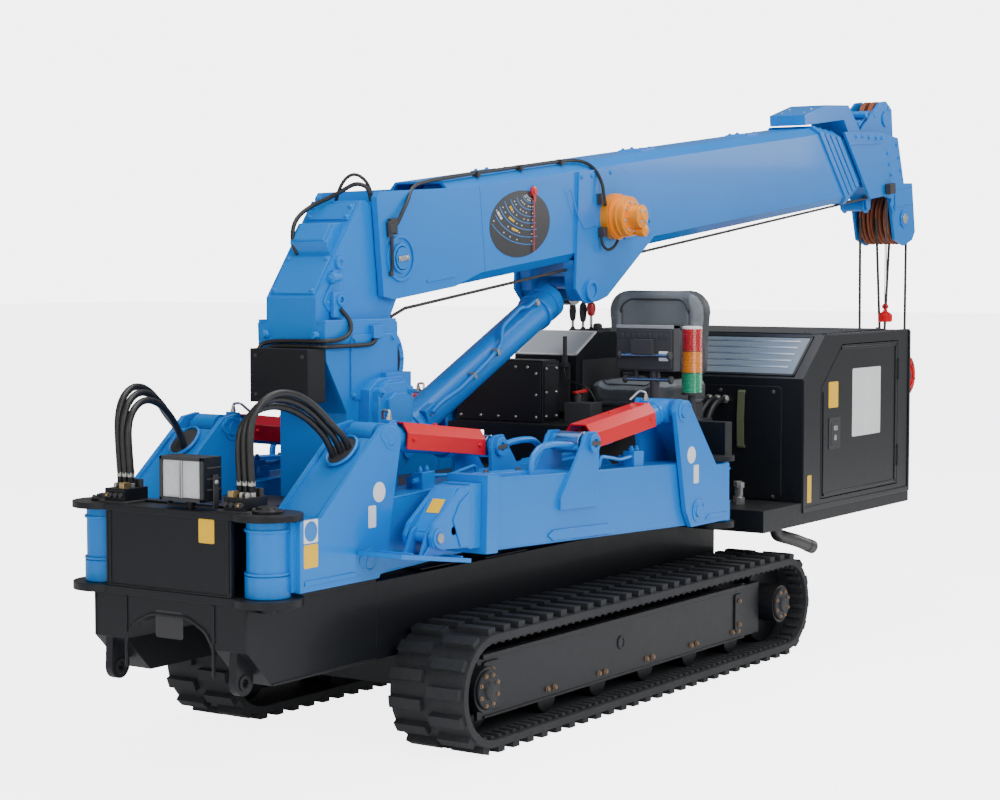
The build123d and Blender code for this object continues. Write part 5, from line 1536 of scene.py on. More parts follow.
    def reel(self) -> None:
        """Add the reel's ribs, bolts and clamps."""
        s, w = self.reel_middle
        ribs, bolts, dark = self.machine.boom_shapes(3)
        ribs.ring((s, 188, w), (s, 196, w), 90, 76, 48)
        ribs.ring((s, 214, w), (s, 222, w), 86, 74, 48)
        ribs.turned((s, 244, w), (s, 999, w), [(0, 70), (6, 66), (7, 50)], 40)
        ribs.turned((s, 296, w), (s, 999, w), [(0, 44), (6, 40), (8, 18), (14, 16)], 32)
        ribs.turned((s + 40, 250, w - 62), (s + 40, 330, w - 62), [(0, 26), (36, 26), (40, 20)], 24)
        ribs.piece("rope_reel_ribs", ORANGE, "boom", 1.4, "orange_paint")
        bolts.bolts([(a, 250, b) for a, b in circle(s, w, 60, 8, 10)], (0, 1, 0), 6)
        bolts.bolts([(a, 304, b) for a, b in circle(s, w, 30, 4, 40)], (0, 1, 0), 5)
        bolts.piece("rope_reel_bolts", ZINC, "boom", 0.4, "forged_steel")
        dark.block((s - 112, 152, w + 60), (s - 84, 176, w + 104))
        dark.block((s - 118, 152, w - 74), (s - 88, 180, w - 34))
        dark.piece("reel_cable_clamps", DARK_PLASTIC, "boom", 2.0, "dark_plastic")

    def lift(self) -> None:
        """Add the lift cylinder's gland, collars, ports and pipe."""
        start, end = (Vector((x, 0, z)) for x, z in (LIFT_PIN, LIFT_EYE))
        cylinder = line_place(start, end, Vector((0, 1, 0)), self.machine.shift)
        shape, steel, fittings = (Shape(cylinder) for _ in range(3))
        shape.ring((150, 0, 0), (172, 0, 0), 76, 60, 40)
        shape.ring((1120, 0, 0), (1140, 0, 0), 78, 60, 40)
        shape.block((196, 44, 6), (260, 76, 54))
        shape.piece("lift_barrel_collars", BLUE, "lift_barrel", 1.6, "blue_paint")
        steel.turned((1238, 0, 0), (1300, 0, 0), [(0, 62), (8, 60), (10, 50)], 40)
        steel.pipe([(228, 66, 30), (228, 84, 36), (290, 88, 44), (420, 86, 30), (640, 80, 34), (760, 74, 44),
                    (800, 66, 98), (960, 62, 108), (1010, 54, 80), (1090, 48, 76)], 9, 26, 12)
        steel.piece("lift_barrel_pipe", BLUE, "lift_barrel", 0, "blue_paint")
        fittings.turned((1090, 50, 56), (1090, 50, 99), [(0, 16), (16, 16), (18, 12), (26, 12)], 6)
        fittings.turned((228, 56, 30), (228, 99, 30), [(0, 15), (14, 15), (16, 11), (24, 11)], 6)
        for a, low, high in ((520, 18, 42), (700, 24, 50)):
            fittings.block((a, 60, low), (a + 16, 92, high))
        fittings.piece("lift_barrel_fittings", ZINC, "lift_barrel", 0.6, "valve_steel")

    def cable(self) -> None:
        """Lay the signal cable from the column along the boom to its reel."""
        place = boom_place(self.machine.shift)
        self.machine.cord("boom_cable", "boom", 7, [
            (-46, 152, 112), (-20, 154, 128), (16, 154, 168), (60, 150, 206), (104, 132, 240),
            (170, 118, 256), (420, 112, 262), (800, 110, 263), (1180, 108, 262), (1310, 122, 254),
            (1362, 152, 214), (1380, 172, 150), (1376, 176, 96), (1390, 172, 62)], place)
        self.machine.cord("angle_cable", "boom", 6, [
            (-54, 150, 100), (-62, 154, 70), (-66, 154, 20), (-68, 152, -30),
            (-70, 146, -44)], place)
        clips = self.machine.boom_shape()
        for s in (560, 860, 1160):
            clips.block((s - 9, 96, 246), (s + 9, 124, 270))
        clips.block((-72, 141, 96), (-36, 160, 128))
        clips.block((-60, 141, 120), (-24, 156, 148))
        clips.rod((-66, 150, 84), (-66, 150, 140), 9, 14)
        clips.rod((-34, 152, 90), (-34, 152, 124), 8, 14)
        clips.block((-78, 140, -56), (-62, 152, -40))
        clips.piece("boom_cable_clips", DARK_PLASTIC, "boom", 1.5, "dark_plastic")
        self.machine.cord("reel_cable", "boom", 6, [
            (1360, 166, -56), (1346, 170, -92), (1372, 182, -124), (1420, 190, -112),
            (1444, 190, -88)], place)

    def rope(self) -> None:
        """Run the taut hoist rope below the boom to the head."""
        rope, lead = self.machine.boom_shape(), self.machine.shape()
        rope.rod((62, 98, -190), (4230, 84, -154), 6, 12)
        rope.piece("hoist_rope", ROPE, "boom", 0, "wire_rope")
        lead.rod((-60, 98, 1466), (-232, 98, 1524), 6, 12)
        lead.piece("hoist_rope_lead", ROPE, "slewing_post", 0, "wire_rope")


@dataclass
class Head:
    """The boom head's bolts, sheaves, guards and overwind switch."""

    machine: Machine
    sheave: tuple[float, float] = (4560.0, -300.0)
    top_sheave: tuple[float, float] = (4455.0, 238.0)
    face: float = 115.0

    def build(self) -> None:
        """Dress the head."""
        self.machine.dress(BLUE, "boom_head")
        self.machine.dress(RUSTED, "head_sheaves")
        self.machine.dress(ROPE, "rope_falls")
        place = boom_place(self.machine.shift)

        def on_top_sheave(spot: Vector) -> bool:
            """Say whether a point lies on the upper sheaves."""
            s, _, w = place.local(spot)
            return math.hypot(s - self.top_sheave[0], w - self.top_sheave[1]) < 93 and abs(spot.y) < 38

        self.machine.tint("boom_head", RUSTED, on_top_sheave)
        self.sheaves()
        self.plates()
        self.switch()

    def sheaves(self) -> None:
        """Replace the lower sheaves by grooved ones on a shared hub."""
        s, w = self.sheave
        shape = self.machine.boom_shape()
        groove = [(0, 44), (0.5, 118), (1, 138), (5, 138), (11, 119),
                  (15, 119), (21, 138), (25, 138), (25.5, 118), (26, 44)]
        for y in (-69, -23, 23, 69):
            shape.turned((s, y - 13, w), (s, y + 13, w), groove, 56)
        shape.rod((s, -69, w), (s, 69, w), 62, 32)
        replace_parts(shape.piece("grooved_sheaves", RUSTED, "boom_tip", 0.6, "sheave_steel"), "head_sheaves")

    def plates(self) -> None:
        """Add the head plates' bolts, bosses, lower housing and stiffeners."""
        s, w = self.sheave
        top_s, top_w = self.top_sheave
        shape, bolts, steel = self.machine.boom_shapes(3)
        for side in SIDES:
            face = side * self.face
            shape.ring((s, face, w), (s, face + side * 9, w), 46, 26, 40)
            shape.plate(round_box(s - 110, s + 120, -230, -142, 16), face, face + side * 5)
            shape.plate([(3900, 150), (4290, 132), (4290, 118), (3900, 136)], face, face + side * 5)
            shape.ring((top_s, side * 74, top_w), (top_s, side * 84, top_w), 40, 22, 32)
            spots = ((3990, 176), (4070, 172), (4150, 160), (4240, 152), (4310, 146), (4380, 62),
                     (4396, 4), (4412, -54), (4428, -112), (4500, 100), (4520, 30), (4540, -40))
            bolts.bolts([(a, face, b) for a, b in spots], (0, side, 0))
            steel.rod((s, side * 120, w), (s, side * 128, w), 27)
            steel.block((s - 34, side * 124, w - 9), (s + 34, side * 130, w + 9))
        for a, b, radius in ((4130, 236, 16), (4220, 276, 18), (4330, 268, 14), (4508, 292, 14)):
            shape.rod((a, -78, b), (a, 78, b), radius, 20)
        shape.plate([(4100, 190), (4300, 292), (4306, 280), (4110, 180)], -58, 58)
        roller = [(0, 40), (8, 40), (12, 30), (116, 30), (120, 40), (128, 40)]
        shape.turned((4205, -64, -196), (4205, 64, -196), roller, 32)
        for side in SIDES:
            shape.plate([(4172, -150), (4240, -150), (4228, -218), (4184, -218)], side * 66, side * 76)
        loop = [(4390, 121, -180), (4360, 132, -206), (4378, 138, -248), (4420, 132, -256), (4434, 121, -222)]
        shape.pipe(loop, 7, 16, 10)
        shape.piece("head_fittings", BLUE, "boom_tip", 1.6, "blue_paint")
        bolts.piece("head_bolts", BLUE, "boom_tip", 0.6, "blue_paint")
        steel.bolts([(a, y, top) for a, top in ((3520, 320), (3600, 334)) for y in (60, -60)], (0, 0, 1))
        steel.piece("head_pins", ZINC, "boom_tip", 0.8, "forged_steel")

    def switch(self) -> None:
        """Add the overwind switch at the head, and the red weight that hangs from it on two thin chains."""
        x, z = HEAD_X + 190, HOOK_Z
        switch, chain, weight = self.machine.boom_shape(), self.machine.shape(), self.machine.shape()
        switch.block((4330, 118, -150), (4400, 148, -96))
        switch.piece("overwind_switch", DARK_PLASTIC, "boom_tip", 3.0, "dark_plastic")
        for y in (96, 104):
            chain.rod((x, y, z + 345), (x, y, z + 940), 2.4, 6)
        chain.piece("overwind_chain", DARK_STEEL, "hanging_block", 0, "forged_steel")
        round_weight = [(0, 30), (6, 38), (40, 38), (46, 30), (58, 12), (66, 12)]
        weight.turned((x, 100, z + 290), (x, 100, 3000), round_weight, 24)
        weight.ring((x - 12, 100, z + 372), (x + 12, 100, z + 372), 15, 9, 20)
        weight.piece("overwind_weight", RED, "hanging_block", 1.5, "red_paint")


@dataclass
class HookBlock:
    """The hook block's side plates, sheaves, keepers, swivel and latch."""

    machine: Machine
    x: float = HEAD_X
    z: float = HOOK_Z
    face: float = 150.0

    def build(self) -> None:
        """Dress the hook block and hook."""
        self.machine.dress(RED, "hook_block", "hook")
        shape, steel, swivel, latch = self.machine.shapes(4)
        x, z = self.x, self.z
        for side in SIDES:
            face = side * self.face
            shape.ring((x, face, z), (x, face + side * 6, z), 92, 66, 48)
            cheek = [(x - 52, z - 96), (x + 52, z - 96), (x + 36, z - 158), (x - 36, z - 158)]
            shape.plate(cheek, side * 70, side * 78)
            steel.turned((x, face, z), (x, face + side * 9, z), [(0, 34), (5, 34), (7, 22), (13, 22)], 32)
            steel.bolts([(a, face + side * 6, b) for a, b in circle(x, z, 79, 6, 15)], (0, side, 0), 6)
        shape.piece("hook_block_rings", RED, "hanging_block", 1.6, "red_paint")
        steel.piece("hook_block_pins", DARK_STEEL, "hanging_block", 0.7, "forged_steel")
        swivel.turned((x, 0, z - 168), (x, 0, 0), [(0, 36), (4, 38), (22, 38), (26, 30)], 32)
        swivel.piece("hook_swivel", DARK_STEEL, "hook", 0.8, "forged_steel")
        latch.pipe([(x - 8, 0, 832), (x + 24, 0, 822), (x + 56, 0, 800)], 5, 14, 8)
        latch.piece("hook_latch", ZINC, "hook", 0, "forged_steel")


@dataclass
class Pad:
    """A stuffed seat part: a crowned form swelled by a cloth simulation, with seams and piping."""

    name: str
    node: str
    place: Place
    outline: list[Point]
    depth: float
    seams: list[tuple[Point, Point]]
    crown: Callable[[float, float], float]
    piping: list[Point]

    def build(self) -> None:
        rough = Shape(self.place).plate(self.outline, 8, self.depth, Way.UP)
        thing = linked(self.name, rough.data(self.name))
        edge = thing.modifiers.new("edge", "BEVEL")
        edge.width, edge.segments = 0.026, 5
        remesh = thing.modifiers.new("remesh", "REMESH")
        remesh.mode, remesh.voxel_size = "VOXEL", 0.006
        self.applied(thing)
        self.moved(thing, lambda u, v, n: n + self.crown(u, v) * self.share(n))
        self.swelled(thing)
        finer = thing.modifiers.new("finer", "SUBSURF")
        finer.levels = finer.render_levels = 1
        self.applied(thing)
        self.moved(thing, lambda u, v, n: n - self.pressed(u, v) * (1 if self.share(n) > 0.5 else 0))
        thing.data.shade_smooth()
        thing.data.materials.append(VINYL.material())
        # Faces that stand up at the sides take the darker vinyl as painted shade.
        thing.data.materials.append(SIDE_SHADE_AND_PIPING_VINYL.material())
        for face in thing.data.polygons:
            if abs(face.normal.dot(self.place.up)) < 0.55:
                face.material_index = 1
        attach(thing, "machine")
        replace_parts(thing, self.node)
        self.welt(thing)
        log.info("pad %s with %d faces", self.name, len(thing.data.polygons))

    def share(self, n: float) -> float:
        """Give how far up its thickness a point lies, from 0 to 1."""
        return max(0.0, min(1.0, (n - 8) / (self.depth - 8)))

    def pressed(self, u: float, v: float) -> float:
        """Give how deep the seams press the face in at a point."""
        deepest = 0.0
        for (a, b), (c, d) in self.seams:
            run = Vector((c - a, d - b))
            along = max(0.0, min(1.0, Vector((u - a, v - b)).dot(run) / run.length_squared))
            away = (Vector((u, v)) - Vector((a, b)) - run * along).length
            deepest = max(deepest, 6.5 * math.exp(-((away / 6.5) ** 2)) + 3.0 * math.exp(-((away / 22) ** 2)))
        return deepest

    def local(self, spot: Vector) -> tuple[float, float, float]:
        """Give a mesh point's place on the pad, in its millimetres."""
        return self.place.local(spot * 1000 - Vector((self.place.shift, 0, 0)))

    def moved(self, thing: bpy.types.Object, height: Callable[[float, float, float], float]) -> None:
        """Move each point across the pad's face.

        Args:
            thing: The pad.
            height: Gives a point's new height from its place in the pad's millimetres.
        """
        for vertex in thing.data.vertices:
            u, v, n = self.local(vertex.co)
            vertex.co += self.place.up * (height(u, v, n) - n) / 1000

    @staticmethod
    def applied(thing: bpy.types.Object) -> None:
        """Make a thing's modifiers part of its mesh."""
        graph = bpy.context.evaluated_depsgraph_get()
        graph.update()
        data = bpy.data.meshes.new_from_object(thing.evaluated_get(graph))
        thing.modifiers.clear()
        thing.data = data

    def swelled(self, thing: bpy.types.Object) -> None:
        """Swell the form by a short cloth simulation under pressure, and cap each point's move."""
        before = [v.co.copy() for v in thing.data.vertices]
        cloth = thing.modifiers.new("cloth", "CLOTH")
        cloth.settings.use_pressure = True
        cloth.settings.uniform_pressure_force = 4.0
        cloth.settings.effector_weights.gravity = 0.0
        cloth.settings.quality = 4
        cloth.point_cache.frame_start = 1
        cloth.point_cache.frame_end = 20
        scene = bpy.context.scene
        for number in range(1, 21):
            scene.frame_set(number)
        self.applied(thing)
        for vertex, rest in zip(thing.data.vertices, before):
            away = vertex.co - rest
            if away.length > 0.009:
                vertex.co = rest + away.normalized() * 0.009
        scene.frame_set(1)

    def welt(self, thing: bpy.types.Object) -> None:
        """Sew a piping round the face, on the pad's own surface."""
        spots = []
        for u, v in self.piping:
            found, spot, _, _ = thing.ray_cast(self.place.at(u, v, 260), -self.place.up)
            if found:
                spots.append((u, v, self.local(spot)[2]))
        welt = Shape(self.place).pipe(spots, 4.2, 3, 8)
        welt.piece(f"{self.name}_piping", SIDE_SHADE_AND_PIPING_VINYL, "machine", 0, "seat_vinyl")


@dataclass
class OperatorPlace:
    """The seat, monitor, levers, cabinet panel, hydraulics cover and signal lamp."""

    machine: Machine
    beacon_spot: tuple[float, float] = (-1800.0, 430.0)

    def build(self) -> None:
        """Dress the operator's place."""
        self.machine.dress(DARK_PLASTIC, "seat_base", "monitor")
        self.machine.dress(BLACK, "control_cabinet", "hydraulic_box")
        self.seat()
        self.monitor()
        self.cabinet()
        self.levers()
        self.cover()
        self.beacon()
        self.small_parts()

    def seat(self) -> None:
        """Make the seat's back and cushion."""
        shift = self.machine.shift
        back = Place(Vector((-2105, 0, 0)), Vector((0, 1, 0)), Vector((0, 0, 1)), Vector((1, 0, 0)), shift)
        low_y, high_y = -112, 372
        outline = back_outline(low_y, high_y, 1208, 1577, 96)
        inner = back_outline(low_y + 74, high_y - 74, 1214, 1532, 60)

        def dished(u: float, v: float) -> float:
            """Give the back's dish between its side bolsters."""
            side = abs(u - 130) / 242
            lumbar = 8 * math.exp(-(((v - 1330) / 70) ** 2)) * (1 - side)
            return -26 * max(0.0, 1 - (side / 0.72) ** 4) + lumbar

        left, right = low_y + 74, high_y - 74
        seams = [((left, 1214), (left, 1480)), ((right, 1214), (right, 1480)), ((left, 1400), (right, 1400))]
        Pad("seat_back_pad", "seat_back", back, outline, 98, seams, dished, inner).build()
        level = Place(Vector((0, 0, 1090)), Vector((1, 0, 0)), Vector((0, 1, 0)), Vector((0, 0, 1)), shift)
        outline = round_box(-2086, -1630, 10, 370, 52)

        def crowned(u: float, v: float) -> float:
            """Give the cushion's crown."""
            side = abs(v - 190) / 180
            return -16 * max(0.0, 1 - (side / 0.7) ** 4) - 5 * max(0.0, (u + 1760) / 130)

        seams = [((-2060, 72), (-1690, 72)), ((-2060, 308), (-1690, 308)), ((-1840, 72), (-1840, 308))]
        piping = round_box(-2060, -1668, 60, 320, 36) + [(-1668, 284)]
        Pad("seat_cushion_pad", "seat_cushion", level, outline, 100, seams, crowned, piping).build()

    def monitor(self) -> None:
        """Add the monitor's screen, back housing, bracket, rods and knobs."""
        shell, grey, steel, glass, label, knobs = self.machine.shapes(6)
        shell.plate(round_box(219, 477, 1254, 1416, 12), -1549, -1541, Way.ALONG)
        shell.block((-1560, 300, 1316), (-1512, 402, 1378))
        for y in (298, 402):
            shell.plate([(-1580, 1204), (-1560, 1204), (-1544, 1318), (-1560, 1322)], y - 5, y + 5)
        for number in range(9):
            shell.block((-1542, 236 + number * 26, 1380), (-1538, 252 + number * 26, 1400))
        shell.piece("monitor_housing", DARK_PLASTIC, "machine", 2.5, "dark_plastic")
        grey.block((-1602, 213, 1421), (-1546, 483, 1436))
        grey.piece("monitor_top_strip", GREY_PLASTIC, "machine", 2.0, "dark_plastic")
        glass.plate(round_box(228, 468, 1262, 1422, 6), -1603, -1600, Way.ALONG)
        glass.piece("monitor_screen", CLEAR_GLASS, "machine", 0.6)
        label.plate(round_box(418, 462, 1290, 1330, 4), -1541, -1540.2, Way.ALONG)
        label.piece("monitor_label", WHITE_LABEL, "machine", 0)
        steel.rod((-1530, 240, 1312), (-1530, 470, 1312), 8)
        steel.rod((-1560, 250, 1212), (-1560, 462, 1212), 8)
        steel.piece("monitor_rods", CHROME, "machine", 0.4, "chrome_rod")
        for x, y, z in ((-1530, 232, 1312), (-1530, 466, 1312), (-1560, 242, 1212), (-1560, 456, 1212)):
            knobs.turned((x, y, z), (x, y + 20, z), [(0, 13), (4, 17), (12, 17), (16, 13)], 12)
        knobs.piece("monitor_knobs", DARK_PLASTIC, "machine", 0.8, "dark_plastic")

    def cabinet(self) -> None:
        """Add the cabinet's pale panel, its frame, side covers and hinges."""
        panel, frame, dark = self.machine.shapes(3)
        face = slope((-1595, 1298), (-174, 98))
        panel.plate(face.strip(10, 190, -1, 3), -306, -24)
        panel.piece("cabinet_panel", PALE, "machine", 1.0, "lamp_housing")
        for low, high, y0, y1 in frame_edges(2, 198, -318, -12, 8, 12):
            frame.plate(face.strip(low, high, -1, 5), y0, y1)
        frame.piece("cabinet_panel_frame", WHITE_PLASTIC, "machine", 1.0, "lamp_housing")
        for z in (1090, 1230):
            dark.block((-1599, -300, z - 16), (-1593, -284, z + 16))
        dark.plate(round_box(-290, -40, 1060, 1270, 10), -1596, -1590, Way.ALONG)
        dark.plate(round_box(-1950, -1640, 1060, 1280, 12), -10, -5)
        dark.plate(round_box(-1950, -1640, 1060, 1280, 12), -325, -320)
        dark.piece("cabinet_details", DARK_PLASTIC, "machine", 1.2, "dark_plastic")

    def levers(self) -> None:
        """Stand the control levers on the cabinet's top."""
        # y, x, grip's finish word, grip's foot, grip's top, grip's radius
        rows = (
            (-58, -1792, "red", 1462, 1522, 20),
            (-104, -1800, "black", 1436, 1520, 17),
            (-156, -1800, "black", 1440, 1516, 16),
            (-22, -1786, "black", 1402, 1432, 21),
        )
        red, black, shafts, mast = self.machine.shapes(4)
        for y, x, word, low, high, radius in rows:
            shafts.rod((x, y, 1388), (x, y, low + 6), 6)
            black.turned((x, y, 1390), (x, y, 1999), [(0, 22), (4, 22), (12, 16), (18, 10), (24, 8)], 20)
            grip = [((high - low) * up, radius * wide)
                    for up, wide in ((0, 0.55), (0.15, 0.8), (0.55, 1), (0.85, 0.86), (1, 0.4))]
            (red if word == "red" else black).turned((x, y, low), (x, y, 1999), grip, 20)
        shafts.piece("lever_shafts", ZINC, "machine", 0.4, "forged_steel")
        red.piece("lever_grip_red", RED_PLASTIC, "machine", 1.5, "red_paint")
        black.piece("lever_grips", DARK_PLASTIC, "machine", 1.5, "dark_plastic")
        mast.rod((-1584, -60, 1298), (-1584, -60, 1380), 9, 16)
        mast.turned((-1584, -60, 1262), (-1584, -60, 1999), [(0, 14), (30, 14), (34, 10), (42, 10)], 6)
        mast.block((-1596, -74, 1252), (-1566, -46, 1268))
        mast.piece("cabinet_antenna", DARK_PLASTIC, "machine", 0.6, "dark_plastic")
        self.machine.cord("antenna_cable", "machine", 4, [
            (-1576, -60, 1256), (-1574, -58, 1228), (-1560, -30, 1196), (-1552, 20, 1184), (-1556, 70, 1170),
            (-1574, 96, 1120), (-1580, 100, 1060), (-1580, 100, 1034)])

    def cover(self) -> None:
        """Bolt the hydraulics box's lid and front cover on."""
        lid, bolts = self.machine.shapes(2)
        lid.plate(round_box(-414, 4, 1036, 1279, 10), -1300.5, -1295, Way.ALONG)
        lid.plate(round_box(-1420, -1306, -414, 4, 10), 1285, 1290, Way.UP)
        lid.plate(round_box(-1414, -1312, 1046, 1270, 10), 10, 14)
        lid.piece("hydraulic_box_lids", BLACK, "machine", 1.4, "black_paint")
        bolts.bolts([(-1295, y, 1056) for y in (-392, -292, -205, -118, -18)], (1, 0, 0), 5)
        edge = ((-118, 1262), (-60, 1262), (-18, 1236), (-18, 1148))
        bolts.bolts([(-1295, y, z) for y, z in edge], (1, 0, 0), 5)
        bolts.bolts([(x, 14, z) for x in (-1400, -1324) for z in (1060, 1158, 1256)], (0, 1, 0), 5)
        bolts.piece("hydraulic_box_bolts", ZINC, "machine", 0.5, "forged_steel")

    def beacon(self) -> None:
        """Make the signal lamp of three ribbed lenses on its pole."""
        x, y = self.beacon_spot
        housing, cap = self.machine.shapes(2)
        rings = 14
        for word, low, high, finish in (
            ("red", 1323, 1414, RED_LENS),
            ("amber", 1233, 1321, AMBER_LENS),
            ("green", 1150, 1231, GREEN_LENS),
        ):
            tall = high - low
            profile = [(0, 43)]
            for number in range(rings):
                start = tall * number / rings
                profile += [(start + 1, 43.5), (start + tall / rings - 1, 42)]
            lens = self.machine.shape().turned((x, y, low), (x, y, 1999), profile + [(tall, 42)], 40)
            lens.piece(f"beacon_{word}", finish, "machine", 0, "signal_lens")
        for z in (1321, 1231):
            housing.rod((x, y, z), (x, y, z + 2.5), 44, 40)
        pole = [(0, 30), (8, 30), (9, 16), (99, 16), (100, 44), (111, 44)]
        housing.turned((x, y, 1039), (x, y, 1999), pole, 40)
        housing.block((x - 35, 392, 1030), (x + 35, 462, 1040))
        body = housing.piece("beacon_housing", DARK_PLASTIC, "machine", 0.8, "dark_plastic")
        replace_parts(body, "beacon_stack")
        cap.turned((x, y, 1414), (x, y, 1999), [(0, 43), (8, 42), (12, 34)], 40)
        cap.piece("beacon_cap", WHITE_PLASTIC, "machine", 1.0, "lamp_housing")

    def small_parts(self) -> None:
        """Add the small valve box, its red handle, and the footrest ahead of the seat."""
        dark, red, plate = self.machine.shapes(3)
        dark.block((-1540, 20, 1030), (-1450, 150, 1112))
        dark.turned((-1495, 60, 1110), (-1495, 60, 1999), [(0, 16), (30, 16), (32, 10), (44, 10)], 16)
        dark.block((-1250, 180, 1030), (-1340, 330, 1046))
        dark.piece("valve_box", DARK_PLASTIC, "machine", 2.0, "dark_plastic")
        red.plate([(-1560, 1150), (-1470, 1146), (-1462, 1156), (-1556, 1164)], 50, 68)
        red.piece("valve_handle", RED_PLASTIC, "machine", 2.0, "red_paint")
        for number in range(7):
            plate.block((-1244 - number * 46, -405, 1030), (-1268 - number * 46, 400, 1033))
        plate.piece("footplate_ribs", BLACK, "machine", 0.8, "black_paint")


def back_outline(low: float, high: float, bottom: float, top: float, radius: float) -> list[Point]:
    """Give a seat back's outline: straight foot, sides that lean in a little, and large round top corners.

    Args:
        low: Its low side.
        high: Its high side.
        bottom: Its foot's height.
        top: Its top's height.
        radius: The top corners' radius.

    Returns:
        The outline's points.
    """
    outline = [(low + 14, bottom), (high - 14, bottom)]
    for middle, first in ((high - radius, 0), (low + radius, 90)):
        turns = [math.radians(first + 15 * step) for step in range(7)]
        outline += [(middle + radius * math.cos(t), top - radius + radius * math.sin(t)) for t in turns]
    return outline


